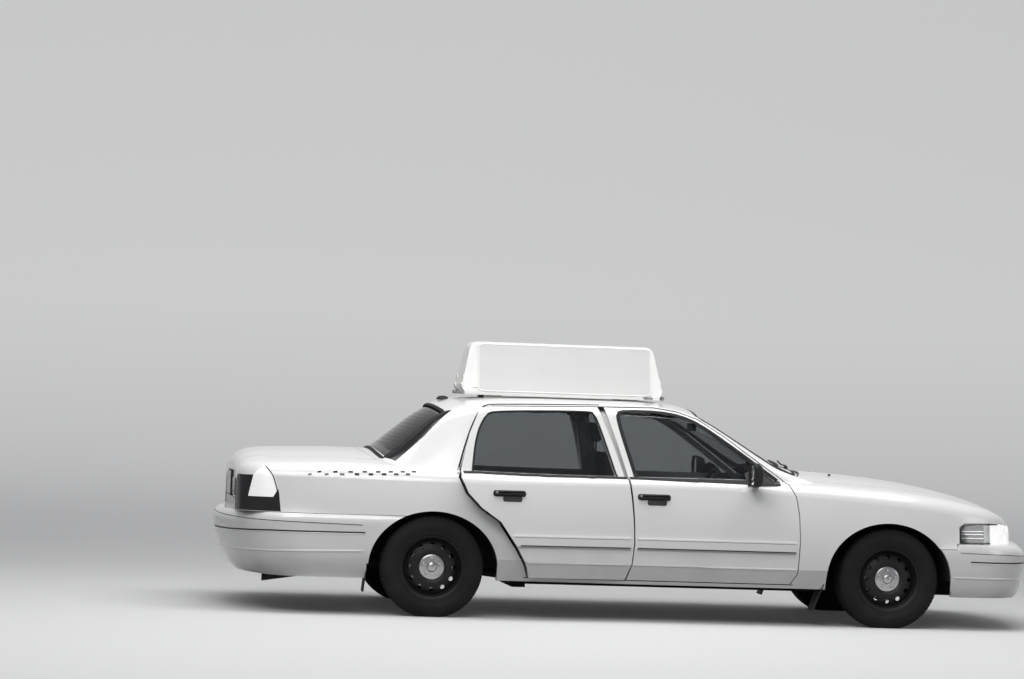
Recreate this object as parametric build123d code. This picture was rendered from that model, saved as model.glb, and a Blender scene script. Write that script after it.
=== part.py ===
from build123d import *
from collections import namedtuple
import math
import os

# A long-wheelbase four-door taxi saloon with a lit advertising sign on its roof, in millimetres.
# X is measured forward from the front axle, Y to the car's left and Z up from the ground.
# Every piece is moved at export, so that the origin lies on the ground under the middle of the car.

# Driving dimensions
WHEELBASE = 3066.0
FRONT_OVERHANG = 1082.0
REAR_OVERHANG = 1389.0
BODY_HALF_WIDTH = 986.0
ROOF_EDGE_Z = 1434.0
BELT_Z = 955.0
SILL_Z = 262.0
FRONT_TRACK = 1610.0
REAR_TRACK = 1666.0
TYRE_RADIUS = 338.0
TYRE_WIDTH = 225.0
RIM_RADIUS = 203.0
RIM_WIDTH = 190.0
HUB_Z = TYRE_RADIUS

# Walls and running gaps
SKIN = 25.0
DOOR_WALL = 85.0
DOOR_HEM = 12.0
DOOR_BEVEL = 22.0
FRAME_WALL = 45.0
GLASS_IN = 16.0
GLASS_WALL = 5.0
LAMP_DEPTH = 60.0
BUMPER_WALL = 40.0
BUMPER_LEDGE = 120.0
DOOR_GAP = 6.0
LID_GAP = 6.0
PANEL_GAP = 0.5
SEAT_GAP = 0.3

REAR_AXLE = -WHEELBASE
NOSE = FRONT_OVERHANG
TAIL = REAR_AXLE - REAR_OVERHANG
CENTRE_SHIFT = -(NOSE + TAIL) / 2
B_POST = -1745.0
A_POST = -640.0
ENGINE_BAY_END = -470.0

RIGHT = -1
LEFT = 1

# Cross sections of the lower body. Each has a straight sill, a side arc above the crease,
# a rounded shoulder about the edge point, and a crowned top. The columns named _in are
# measured in from the widest line of the body.
Lower = namedtuple("Lower", "x crease_in crease_z sill_in sill_z edge_in edge_z lean setback crown")
LOWER_SECTIONS = [
    Lower(905, 376, 520, 386, SILL_Z + 38, 426, 672, 8, 30, 4.0),
    Lower(870, 266, 480, 286, SILL_Z + 18, 318, 718, 8, 45, 5.5),
    Lower(780, 151, 450, 186, SILL_Z + 8, 211, 776, 9, 60, 7.0),
    Lower(600, 68, 420, 106, SILL_Z, 136, 828, 10, 75, 8.0),
    Lower(300, 28, 400, 71, SILL_Z, 93, 880, 11, 85, 9.0),
    Lower(-100, 11, 392, 61, SILL_Z, 81, 918, 12, 85, 10.0),
    Lower(-600, 3, 388, 56, SILL_Z, 74, BELT_Z - 12, 13, 75, 10.0),
    Lower(-1700, 0, 392, 54, SILL_Z, 68, BELT_Z, 13, 55, 8.0),
    Lower(REAR_AXLE + 266, 1, 405, 56, SILL_Z, 74, BELT_Z + 8, 13, 70, 9.5),
    Lower(REAR_AXLE - 334, 11, 420, 61, SILL_Z, 84, BELT_Z + 28, 12, 85, 12.0),
    Lower(REAR_AXLE - 784, 31, 440, 81, SILL_Z + 13, 104, BELT_Z + 35, 11, 90, 11.5),
    Lower(REAR_AXLE - 1054, 71, 455, 116, SILL_Z + 38, 148, BELT_Z + 25, 9, 85, 12.0),
    Lower(REAR_AXLE - 1224, 136, 470, 186, SILL_Z + 68, 216, BELT_Z + 11, 7, 75, 11.0),
    Lower(REAR_AXLE - 1284, 241, 480, 266, SILL_Z + 78, 316, BELT_Z - 32, 5, 50, 8.0),
]

# Cross sections of the glasshouse, from the foot of the windshield to the foot of the backlight.
Canopy = namedtuple("Canopy", "x foot_in edge_in edge_z lean setback crown")
CANOPY_FOOT_Z = 850.0
CANOPY_SECTIONS = [
    Canopy(-430, 146, 161, 910, 20, 40, 4.0),
    Canopy(-580, 131, 186, 985, 20, 45, 8.0),
    Canopy(-760, 118, 221, 1055, 21, 50, 12.0),
    Canopy(-960, 110, 258, 1175, 22, 50, 12.5),
    Canopy(-1160, 106, 294, ROOF_EDGE_Z - 135, 22, 55, 12.0),
    Canopy(-1330, 105, 318, ROOF_EDGE_Z - 48, 22, 65, 9.0),
    Canopy(-1530, 104, 330, ROOF_EDGE_Z - 12, 22, 72, 7.2),
    Canopy(-1740, 104, 334, ROOF_EDGE_Z - 2, 22, 78, 6.3),
    Canopy(-1950, 104, 336, ROOF_EDGE_Z, 22, 80, 6.0),
    Canopy(-2160, 104, 336, ROOF_EDGE_Z, 22, 80, 6.0),
    Canopy(REAR_AXLE + 696, 105, 336, ROOF_EDGE_Z - 1, 22, 80, 6.0),
    Canopy(REAR_AXLE + 486, 106, 335, ROOF_EDGE_Z - 6, 22, 80, 6.1),
    Canopy(REAR_AXLE + 276, 109, 332, ROOF_EDGE_Z - 24, 23, 75, 7.2),
    Canopy(REAR_AXLE + 86, 114, 321, 1346, 25, 65, 12.0),
    Canopy(REAR_AXLE - 64, 118, 301, 1235, 30, 55, 17.0),
    Canopy(REAR_AXLE - 224, 124, 274, 1092, 36, 50, 19.0),
    Canopy(REAR_AXLE - 384, 134, 241, 985, 44, 40, 14.0),
    Canopy(REAR_AXLE - 494, 146, 216, 915, 50, 25, 6.0),
]


def section_face(x, foot, base, edge, lean, setback, crown, inset):
    # One closed section across the car, drawn in from the outer skin by the inset.
    side_tilt = math.radians(lean)
    top_tilt = math.radians(crown)
    up = Vector(-math.sin(side_tilt), math.cos(side_tilt))
    over = Vector(-math.cos(top_tilt), math.sin(top_tilt))
    side_in = Vector(-math.cos(side_tilt), -math.sin(side_tilt))
    top_in = Vector(-math.sin(top_tilt), -math.cos(top_tilt))
    spread = side_in.X * top_in.Y - side_in.Y * top_in.X
    corner = Vector(edge[0] + inset * (top_in.Y - side_in.Y) / spread,
                    edge[1] + inset * (side_in.X - top_in.X) / spread)
    half_turn = math.acos(up.dot(over)) / 2
    round_off = max(setback - inset * math.tan(half_turn), 4.0)
    low = corner - up * round_off
    high = corner + over * round_off
    knee = Vector(foot[0] - inset, foot[1])
    flip = Vector(-high.X, high.Y)
    flip_low = Vector(-low.X, low.Y)
    flip_knee = Vector(-knee.X, knee.Y)
    edges = [
        TangentArc(low, knee, tangent=-up),
        TangentArc(low, high, tangent=up),
        TangentArc(high, flip, tangent=over),
        TangentArc(flip_low, flip, tangent=Vector(-up.X, up.Y)),
        TangentArc(flip_low, flip_knee, tangent=Vector(up.X, -up.Y)),
    ]
    if base is None:
        edges.append(Line(flip_knee, knee))
    else:
        sill = Vector(base[0] - inset, base[1] + inset)
        flip_sill = Vector(-sill.X, sill.Y)
        edges += [Line(sill, knee), Line(flip_knee, flip_sill), Line(flip_sill, sill)]
    across = Plane(origin=(x, 0, 0), x_dir=(0, 1, 0), z_dir=(1, 0, 0))
    return across * make_face(edges)


def lower_body(inset):
    # The end sections move in with the skin, so that the nose and tail faces have a wall too.
    faces = []
    for row in LOWER_SECTIONS:
        if row.x > 0:
            pull = row.x / LOWER_SECTIONS[0].x
        elif row.x < REAR_AXLE:
            pull = (row.x - REAR_AXLE) / (REAR_AXLE - LOWER_SECTIONS[-1].x)
        else:
            pull = 0.0
        foot = (BODY_HALF_WIDTH - row.crease_in, row.crease_z)
        base = (BODY_HALF_WIDTH - row.sill_in, row.sill_z)
        edge = (BODY_HALF_WIDTH - row.edge_in, row.edge_z)
        faces.append(section_face(row.x - inset * pull, foot, base, edge,
                                  row.lean, row.setback, row.crown, inset))
    return loft(faces)


def canopy(inset):
    faces = []
    for row in CANOPY_SECTIONS:
        foot = (BODY_HALF_WIDTH - row.foot_in, CANOPY_FOOT_Z)
        edge = (BODY_HALF_WIDTH - row.edge_in, row.edge_z)
        faces.append(section_face(row.x, foot, None, edge, row.lean, row.setback, row.crown, inset))
    return loft(faces)


def grown(face, gap):
    if gap == 0:
        return face
    return offset(face, amount=gap, kind=Kind.INTERSECTION)


def side_prism(points, y_from, y_to, gap=0.0):
    # A side-view outline of X, Z points, extruded across the car.
    face = grown(make_face(Polyline(*points, close=True)), gap)
    plane = Plane(origin=(0, y_to, 0), x_dir=(1, 0, 0), z_dir=(0, -1, 0))
    return extrude(plane * face, amount=y_to - y_from)


def plan_prism(face, z_from, z_to):
    return extrude(Pos(0, 0, z_from) * face, amount=z_to - z_from)


def front_prism(face, x_from, x_to):
    # A front-view outline of Y, Z points, extruded along the car.
    plane = Plane(origin=(x_from, 0, 0), x_dir=(0, 1, 0), z_dir=(1, 0, 0))
    return extrude(plane * face, amount=x_to - x_from)


def block(x_from, x_to, y_from, y_to, z_from, z_to):
    size = (abs(x_to - x_from), abs(y_to - y_from), abs(z_to - z_from))
    middle = ((x_from + x_to) / 2, (y_from + y_to) / 2, (z_from + z_to) / 2)
    return Pos(*middle) * Box(*size)


def rod(start, end, radius):
    line = Vector(*end) - Vector(*start)
    return Plane(origin=start, z_dir=line) * extrude(Circle(radius), amount=line.length)


def other_side(shape):
    return mirror(shape, about=Plane.XZ)


def largest(shape):
    return max(shape.solids(), key=lambda piece: piece.volume)


def save(shape, name):
    moved = Pos(CENTRE_SHIFT, 0, 0) * shape
    export_step(moved, "parts/" + name + ".step")


def save_pair(shape, name):
    # Like pieces of both sides on one body share a node, as two solids.
    save(Compound([shape, other_side(shape)]), name)


# Side-view outlines. Door cuts run down the front edge, along the bottom and up the rear edge.
DOOR_FOOT_Z = SILL_Z + 28
B_LINE = [(-176, 1420), (-91, 1174), (-23, BELT_Z - 10), (-7, 830), (4, 692), (9, 536), (-5, 396),
          (-39, DOOR_FOOT_Z)]
A_LINE = [(-44, DOOR_FOOT_Z), (1, 361), (13, 566), (7, 743), (-12, 863), (-57, BELT_Z - 7)]
A_FRAME = [(-97, 982), (-475, 1250), (-650, 1358), (-790, 1404), (-940, 1425)]
C_LINE = [(398, 1402), (331, 1390), (248, 1218), (162, BELT_Z - 20), (206, 835), (296, 740), (423, 653),
          (546, 470), (605, 363), (626, DOOR_FOOT_Z)]


def b_line(shift):
    return [(B_POST + x + shift, z) for x, z in B_LINE]


def c_line(shift):
    return [(REAR_AXLE + x + shift, z) for x, z in reversed(C_LINE)]


FRONT_DOOR = [(A_POST + x, z) for x, z in A_LINE + A_FRAME] + b_line(DOOR_GAP / 2)
REAR_DOOR = b_line(-DOOR_GAP / 2 - 1) + c_line(0)

# Behind its outer hem a door's rear edge steps forward, so that it swings out past the body.
FRONT_DOOR_CORE = [(A_POST + x, z) for x, z in A_LINE + A_FRAME] + b_line(DOOR_GAP / 2 + DOOR_BEVEL)
REAR_DOOR_CORE = b_line(-DOOR_GAP / 2 - 1) + c_line(DOOR_BEVEL)
FRONT_WINDOW = [(-765, BELT_Z - 15), (-765, BELT_Z + 2), (-1135, 1222), (-1306, 1331), (-1430, 1374),
                (-1576, 1392), (-1805, 1389), (-1830, 1372), (-1708, BELT_Z), (-1708, BELT_Z - 15)]
REAR_WINDOW = [(-1838, BELT_Z - 15), (-1838, BELT_Z + 5), (-1952, 1368), (-1985, 1386), (-2640, 1368),
               (-2700, 1342), (-2772, 1205), (-2812, BELT_Z + 5), (-2812, BELT_Z - 15)]
ARCH_HALF = 425.0
FRONT_ARCH_X = -13.0
FRONT_ARCH_RISE = 374.0
REAR_ARCH_RISE = 367.0
TAIL_LAMP_SIDE = [(-1003, 673), (-1016, 792), (-1046, 900), (-1099, 972), (-1360, 972), (-1360, 673)]
LAMP_INNER = 424.0
TAIL_LAMP_INNER = 560.0
BUMPER_TOP_Z = 587.0
FRONT_BUMPER_START = 300.0
FRONT_BUMPER_LOW_Z = 549.0
FRONT_BUMPER_STEP = [(250, FRONT_BUMPER_LOW_Z), (457, FRONT_BUMPER_LOW_Z), (466, BUMPER_TOP_Z), (466, 760),
                     (250, 760)]
HEADLAMP_SIDE = [(473, BUMPER_TOP_Z + PANEL_GAP), (473, 700), (512, 727), (742, 729), (960, 696),
                 (960, BUMPER_TOP_Z + PANEL_GAP)]
REAR_BUMPER_TOP_Z = 667.0
MOULDING_OUT = 12.0


def arch(x, rise, y_from, y_to, inset=0.0):
    half = ARCH_HALF - inset
    plane = Plane(origin=(0, y_to, 0), x_dir=(1, 0, 0), z_dir=(0, -1, 0))
    outline = Pos(x, HUB_Z) * Ellipse(half, rise - inset)
    outline += Pos(x, HUB_Z / 2) * Rectangle(2 * half, HUB_Z)
    return extrude(plane * outline, amount=y_to - y_from)


HOOD_REAR_X = -480.0
HOOD_SIDE_Y = 745.0
HOOD_FRONT_Y = 620.0
HOOD_FRONT_Z = 700.0
TRUNK_FRONT_X = REAR_AXLE - 464
TRUNK_SIDE_Y = 700.0
TRUNK_REAR_Z = 745.0


def hood_face(gap=0.0):
    # The gap is wider at the rear corners, because the hood carries them forward as it opens.
    side = HOOD_SIDE_Y + 1.6 * gap
    front = HOOD_FRONT_Y + gap
    corner_x = HOOD_REAR_X - 160 - 2 * gap
    rear = ThreePointArc((corner_x, -side), (HOOD_REAR_X - gap, 0), (corner_x, side))
    sides = Polyline((corner_x, side), (700, front + 20), (NOSE, front), (NOSE, -front),
                     (700, -front - 20), (corner_x, -side))
    return make_face([rear, sides])


def trunk_face(gap=0.0):
    side = TRUNK_SIDE_Y + gap
    inner = TAIL_LAMP_INNER - LID_GAP + gap
    corner_x = TRUNK_FRONT_X + 90 + gap
    front = ThreePointArc((corner_x, -side), (TRUNK_FRONT_X + gap, 0), (corner_x, side))
    sides = Polyline((corner_x, side), (REAR_AXLE - 1010, side - 40), (REAR_AXLE - 1130, inner),
                     (TAIL, inner), (TAIL, -inner), (REAR_AXLE - 1130, -inner),
                     (REAR_AXLE - 1010, 40 - side), (corner_x, -side))
    return make_face([front, sides])


# Nested bodies from the two section tables
lower_out = lower_body(0)
lower_skin = lower_body(SKIN)
lower_door = lower_body(DOOR_WALL)
lower_lamp = lower_body(LAMP_DEPTH)
lower_hem = lower_body(DOOR_HEM)
lower_moulding = lower_body(-MOULDING_OUT)
canopy_out = canopy(0)
canopy_in = canopy(FRAME_WALL)
canopy_hem = canopy(DOOR_HEM)
canopy_wall = canopy_out - canopy_in - lower_out
glass_wall = canopy(GLASS_IN) - canopy(GLASS_IN + GLASS_WALL)
lower_wall = lower_out - lower_skin
BEYOND = BODY_HALF_WIDTH + 60
DOOR_INNER = 795.0

hood_cut = plan_prism(hood_face(LID_GAP), HOOD_FRONT_Z - LID_GAP, 1200)
trunk_cut = plan_prism(trunk_face(LID_GAP), TRUNK_REAR_Z - LID_GAP, 1200)


# The inner body moved down keeps the foot of a door as thin as the rest of it.
DOOR_FOOT_DROP = 75.0
HEADER_DEPTH = 50.0


def door_panel(outline, core, window, moulding):
    whole = side_prism(outline, -BEYOND, -300)
    low = (lower_out & side_prism(outline, -BEYOND, -DOOR_INNER)) - lower_door
    low -= Pos(0, 0, -DOOR_FOOT_DROP) * lower_door
    frame = (canopy_wall & whole) - side_prism(window, -BEYOND, -300)
    frame -= Pos(0, HEADER_DEPTH, 0) * canopy_out
    strip = (lower_moulding & side_prism(moulding, -BEYOND, -850) & whole) - lower_door
    rim = whole - side_prism(core, -BEYOND, -300)
    return largest(low + frame + strip - (rim & lower_hem) - (rim & canopy_hem))


def door_glass(window):
    return largest((glass_wall & side_prism(window, -BEYOND, -300)) - lower_out)


MOULDING_TOP = 566.0
MOULDING_FOOT = 496.0


def moulding_outline(x_from, x_to):
    return [(x_from, MOULDING_FOOT), (x_to, MOULDING_FOOT), (x_to, MOULDING_TOP), (x_from, MOULDING_TOP)]


front_door = door_panel(FRONT_DOOR, FRONT_DOOR_CORE, FRONT_WINDOW, moulding_outline(-650, -1722))
rear_door = door_panel(REAR_DOOR, REAR_DOOR_CORE, REAR_WINDOW, moulding_outline(-1764, -2560))
front_glass = door_glass(FRONT_WINDOW)
rear_glass = door_glass(REAR_WINDOW)

door_holes = side_prism(FRONT_DOOR, -BEYOND, -300, DOOR_GAP) + side_prism(REAR_DOOR, -BEYOND, -300, DOOR_GAP)
both_door_holes = door_holes + other_side(door_holes)

# The near rear door stands ajar, so everything on it is turned about its hinge line.
REAR_DOOR_AJAR = 7.0
REAR_HINGE = (B_POST + 9, -(BODY_HALF_WIDTH + 4))


def ajar(shape):
    hinge = Pos(REAR_HINGE[0], REAR_HINGE[1], 0)
    return hinge * Rot(0, 0, REAR_DOOR_AJAR) * hinge.inverse() * shape


def roof_shell():
    shell = canopy_wall - both_door_holes - front_prism(windshield_face(), -1420, -300)
    shell -= front_prism(backlight_face(), REAR_AXLE - 600, REAR_AXLE + 130)
    # The foot of the windshield frame stays behind the hood's rear edge, so that the hood can lift.
    shell -= hood_cut
    return largest(shell)


def windshield_face():
    low = ThreePointArc((-748, 1012), (0, 1048), (748, 1012))
    high = ThreePointArc((-628, 1372), (0, 1420), (628, 1372))
    sides = [Line((748, 1012), (628, 1372)), Line((-628, 1372), (-748, 1012))]
    return make_face([low, high] + sides)


def backlight_face():
    low = ThreePointArc((-672, 1040), (0, 1098), (672, 1040))
    high = ThreePointArc((-600, 1352), (0, 1398), (600, 1352))
    sides = [Line((672, 1040), (600, 1352)), Line((-600, 1352), (-672, 1040))]
    return make_face([low, high] + sides)


windshield = largest((glass_wall & front_prism(windshield_face(), -1420, -300)) - both_door_holes)
backlight = largest(glass_wall & front_prism(backlight_face(), REAR_AXLE - 600, REAR_AXLE + 130))


# The side skins stop at this line underneath, where the sill and the wheel houses begin.
OUTER_SIDE = BODY_HALF_WIDTH - 106


def fender():
    shape = lower_wall & block(-800, NOSE, -BEYOND, -HOOD_FRONT_Y + 60, SILL_Z - 10, 1200)
    shape -= hood_cut
    shape -= side_prism(HEADLAMP_SIDE, -BEYOND, -LAMP_INNER, PANEL_GAP)
    shape -= side_prism(FRONT_DOOR, -BEYOND, -300, DOOR_GAP)
    shape -= arch(FRONT_ARCH_X, FRONT_ARCH_RISE, -BEYOND, -300)
    shape -= block(457, NOSE, -BEYOND, 0, 0, BUMPER_TOP_Z + 3)
    shape -= block(FRONT_BUMPER_START - 10, 458, -BEYOND, 0, 0, FRONT_BUMPER_LOW_Z + 3)
    shape -= block(-800, NOSE, -OUTER_SIDE, 0, 0, 500)
    shape -= block(-900, A_POST - 20, -BEYOND, 0, 0, DOOR_FOOT_Z)
    shape -= cowl_cut()
    shape -= canopy_in
    return largest(shape)


def cowl_cut():
    return block(-800, HOOD_REAR_X, -HOOD_SIDE_Y - PANEL_GAP, HOOD_SIDE_Y + PANEL_GAP, 880, 1200)


def cowl():
    shape = lower_wall & block(-740, HOOD_REAR_X, -HOOD_SIDE_Y, HOOD_SIDE_Y, 880, 1200)
    shape -= hood_cut
    shape -= canopy_out
    return largest(shape)


def quarter():
    shape = lower_wall & block(REAR_AXLE + 700, TAIL, -BEYOND, -TAIL_LAMP_INNER, SILL_Z - 10, 1200)
    shape -= trunk_cut
    shape -= side_prism(REAR_DOOR, -BEYOND, -300, DOOR_GAP)
    shape -= arch(REAR_AXLE, REAR_ARCH_RISE, -BEYOND, -300)
    shape -= block(REAR_AXLE - 100, TAIL, -BEYOND, 0, 0, REAR_BUMPER_TOP_Z + 3)
    shape -= block(REAR_AXLE + 800, TAIL, -OUTER_SIDE, 0, 0, 500)
    shape -= block(REAR_AXLE + 600, REAR_AXLE + 800, -BEYOND, 0, 0, DOOR_FOOT_Z)
    shape -= tail_lamp_cut(PANEL_GAP)
    shape -= block(TRUNK_FRONT_X - 40, -2000, -DECK_SIDE_Y - PANEL_GAP, 0, 800, 1200)
    shape -= canopy_in
    return largest(shape)


DECK_SIDE_Y = 706.0


def tail_lamp_cut(gap):
    # Seen from behind, the lamp narrows upwards along the lid's corner.
    points = [(REAR_AXLE + x, z) for x, z in TAIL_LAMP_SIDE]
    inner = -TAIL_LAMP_INNER
    rear_view = make_face(Polyline((inner, 673), (inner, 762), (inner - 70, 860), (inner - 180, 945),
                                   (inner - 290, 990), (-BEYOND - 20, 990), (-BEYOND - 20, 673), close=True))
    sides = side_prism(points, -BEYOND, inner + gap, gap)
    return sides & front_prism(grown(rear_view, gap), TAIL - 50, REAR_AXLE)


def rear_deck():
    shape = lower_wall & block(TRUNK_FRONT_X - 40, REAR_AXLE - 60, -DECK_SIDE_Y, DECK_SIDE_Y, 800, 1200)
    shape -= trunk_cut
    shape -= canopy_in
    return largest(shape)


def hood():
    shape = lower_wall & plan_prism(hood_face(), HOOD_FRONT_Z, 1200)
    lamp_hole = side_prism(HEADLAMP_SIDE, -BEYOND, LID_GAP - LAMP_INNER, LID_GAP)
    return largest(shape - lamp_hole - other_side(lamp_hole))


PLATE_SPACING_Y = 177.8
PLATE_SPACING_Z = 120.6
PLATE_HOLE = 3.5
PLATE_Z = 830.0


def trunk_lid():
    shape = lower_wall & plan_prism(trunk_face(), TRUNK_REAR_Z, 1200)
    back_x = LOWER_SECTIONS[-1].x
    for y in (-PLATE_SPACING_Y / 2, PLATE_SPACING_Y / 2):
        for z in (PLATE_Z - PLATE_SPACING_Z / 2, PLATE_Z + PLATE_SPACING_Z / 2):
            shape -= rod((back_x - 10, y, z), (back_x + SKIN + 10, y, z), PLATE_HOLE)
    return largest(shape)


def rear_panel():
    inner = TAIL_LAMP_INNER - PANEL_GAP
    top = TRUNK_REAR_Z - LID_GAP
    panel = largest(lower_wall & block(REAR_AXLE - 1200, TAIL, -inner, inner, REAR_BUMPER_TOP_Z, top))
    back_x = LOWER_SECTIONS[-1].x + SKIN / 2
    for y in (-300, 300):
        panel += Pos(back_x, y, (top + TRUNK_REAR_Z) / 2 - SEAT_GAP) * Cylinder(8, LID_GAP)
    return panel


def headlamp():
    return largest((lower_out & side_prism(HEADLAMP_SIDE, -BEYOND, -LAMP_INNER)) - lower_lamp)


def tail_lamp():
    return largest((lower_out & tail_lamp_cut(0)) - lower_lamp)


# Plan sections of the bumpers: height, reach of the middle, and the corner and side points.
Bumper = namedtuple("Bumper", "z reach corner_in corner_y side_in side_y")
FRONT_BUMPER = [
    Bumper(232, 60, 160, 660, 480, 915),
    Bumper(300, 26, 124, 690, 470, 948),
    Bumper(430, 0, 110, 705, 462, 968),
    Bumper(540, 6, 112, 703, 462, 966),
    Bumper(BUMPER_TOP_Z, 42, 190, 700, 490, 955),
]
REAR_BUMPER = [
    Bumper(255, 150, 290, 700, 620, 920),
    Bumper(335, 70, 215, 730, 600, 948),
    Bumper(440, 30, 180, 740, 570, 970),
    Bumper(560, 0, 155, 742, 555, 972),
    Bumper(640, 4, 160, 740, 555, 968),
    Bumper(REAR_BUMPER_TOP_Z, 28, 180, 730, 570, 956),
]


def bumper_plan(row, way, end, start_x, inset):
    # way is 1 at the nose and -1 at the tail; end is how far the bumper reaches in X.
    def at(x_in, y):
        return (end - way * x_in, y)
    start = start_x - way * inset
    middle = at(row.reach + inset, 0)
    corner = at(row.corner_in + inset, row.corner_y - inset / 2)
    side = at(row.side_in + inset, row.side_y - inset)
    flip_corner = (corner[0], -corner[1])
    flip_side = (side[0], -side[1])
    bend = ((corner[0] * 0.62 + side[0] * 0.38) + way * 22, corner[1] * 0.42 + side[1] * 0.58 + 18)
    flip_bend = (bend[0], -bend[1])
    back = (start, side[1])
    flip_back = (start, -side[1])
    return make_face([
        ThreePointArc(flip_corner, middle, corner),
        ThreePointArc(corner, bend, side),
        Line(side, back),
        Line(back, flip_back),
        Line(flip_back, flip_side),
        ThreePointArc(flip_side, flip_bend, flip_corner),
    ])


def bumper_body(rows, way, end, start_x):
    return loft([Pos(0, 0, row.z) * bumper_plan(row, way, end, start_x, 0) for row in rows])


def bumper_hollow(rows, way, end, start_x):
    # The hollow runs out through the foot of the bumper and stops a wall below its top.
    faces = []
    for index, row in enumerate(rows):
        lift = 0 if 0 < index < len(rows) - 2 else -BUMPER_WALL
        faces.append(Pos(0, 0, row.z + lift) * bumper_plan(row, way, end, start_x, BUMPER_WALL))
    return loft(faces)


REAR_BUMPER_START = REAR_AXLE - 180
HOUSE_WALL = 10.0
FRONT_HOUSE_RISE = FRONT_ARCH_RISE + 6
REAR_HOUSE_RISE = REAR_ARCH_RISE + 30


front_hollow = bumper_hollow(FRONT_BUMPER, 1, NOSE, FRONT_BUMPER_START)
rear_hollow = bumper_hollow(REAR_BUMPER, -1, TAIL, REAR_BUMPER_START)


def bumper_well(rows, way, end, start_x):
    # Behind its top ledge the bumper is open upwards.
    return extrude(bumper_plan(rows[-1], way, end, start_x, BUMPER_LEDGE), amount=1000)


def bumper_ends(x, rise, house_rise, house_reach):
    # The flanks end along the wheel arch, and behind the skin along the outside of the wheel house.
    skin = arch(x, rise, -BEYOND, BEYOND)
    return skin + arch(x, house_rise, -house_reach, house_reach, -HOUSE_WALL - PANEL_GAP)


def front_bumper():
    shape = bumper_body(FRONT_BUMPER, 1, NOSE, FRONT_BUMPER_START) - front_hollow
    shape -= bumper_well(FRONT_BUMPER, 1, NOSE, FRONT_BUMPER_START)
    shape -= bumper_ends(FRONT_ARCH_X, FRONT_ARCH_RISE, FRONT_HOUSE_RISE, BODY_HALF_WIDTH - 49)
    return largest(shape - side_prism(FRONT_BUMPER_STEP, -BEYOND, BEYOND))


def rear_bumper():
    shape = bumper_body(REAR_BUMPER, -1, TAIL, REAR_BUMPER_START) - rear_hollow
    shape -= bumper_ends(REAR_AXLE, REAR_ARCH_RISE, REAR_HOUSE_RISE, BODY_HALF_WIDTH - 32)
    return largest(shape - bumper_well(REAR_BUMPER, -1, TAIL, REAR_BUMPER_START))


GRILLE_BARS = 7
GRILLE_DEPTH = 45.0


def grille():
    low = BUMPER_TOP_Z
    high = HOOD_FRONT_Z - LID_GAP - 1
    face_x = LOWER_SECTIONS[0].x
    half = LAMP_INNER - 4
    frame = block(face_x - GRILLE_DEPTH, face_x, -half, half, low, high)
    frame -= block(face_x - GRILLE_DEPTH, face_x, -half + 14, half - 14, low + 12, high - 12)
    pitch = (high - low - 12) / (GRILLE_BARS + 1)
    for index in range(GRILLE_BARS):
        z = low + 6 + pitch * (index + 1)
        frame += block(face_x - GRILLE_DEPTH + 5, face_x - 8, -half + 10, half - 10, z - 2, z + 2)
    for y in (-2 * half / 3, -half / 3, 0, half / 3, 2 * half / 3):
        frame += block(face_x - GRILLE_DEPTH + 5, face_x - 12, y - 3, y + 3, low + 8, high - 8)
    return frame


# Underbody
RAIL_Y = 430.0
RAIL_WIDTH = 70.0
FLOOR_Z = 330.0
FLOOR_WALL = 12.0
RAIL_DEPTH = 110.0
KICK_UP = 190.0


def rail_outline():
    top = FLOOR_Z
    foot = FLOOR_Z - RAIL_DEPTH
    rear = REAR_AXLE - 1180
    return [(840, top + 70), (560, top), (REAR_AXLE + 586, top), (REAR_AXLE + 306, top + KICK_UP),
            (REAR_AXLE - 360, top + KICK_UP), (REAR_AXLE - 560, top + 90), (rear, top + 90),
            (rear, top), (REAR_AXLE - 580, top), (REAR_AXLE - 380, top + KICK_UP - 90),
            (REAR_AXLE + 326, top + KICK_UP - 90), (REAR_AXLE + 586, foot), (540, foot),
            (840, foot + 70)]


CROSS_MEMBERS = [(520, 250), (-60, 250), (-1050, 250), (REAR_AXLE + 640, 225), (REAR_AXLE - 1120, 350)]


def chassis():
    outline = rail_outline()
    rail = side_prism(outline, -RAIL_Y - RAIL_WIDTH / 2, -RAIL_Y + RAIL_WIDTH / 2)
    frame = rail + other_side(rail)
    for x, z in CROSS_MEMBERS:
        frame += block(x - 45, x + 45, -RAIL_Y, RAIL_Y, z - 30, z + 30)
    front_beam = 900.0
    rear_beam = TAIL + 190
    frame += block(front_beam - 60, front_beam, -600, 600, 340, 440)
    frame += block(rear_beam, rear_beam + 60, -520, 520, 335, TRUNK_FLOOR_Z)
    for y in (-RAIL_Y, RAIL_Y):
        frame += block(rear_beam + 50, REAR_AXLE - 1170, y - 30, y + 30, 345, 405)
        front_bracket = block(front_beam - 10, NOSE, y - 30, y + 30, 350, 420)
        rear_bracket = block(rear_beam + 10, TAIL, y - 30, y + 30, 350, 420)
        frame += front_bracket & front_hollow
        frame += rear_bracket & rear_hollow
    return frame


TUNNEL_HALF = 150.0
TUNNEL_Z = 470.0
CABIN_HALF = 700.0
SEAT_PAN_X = REAR_AXLE + 620
KICK_Z = FLOOR_Z + KICK_UP
TRUNK_FLOOR_Z = 425.0
TRUNK_WELL_X = REAR_AXLE - 580


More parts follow.
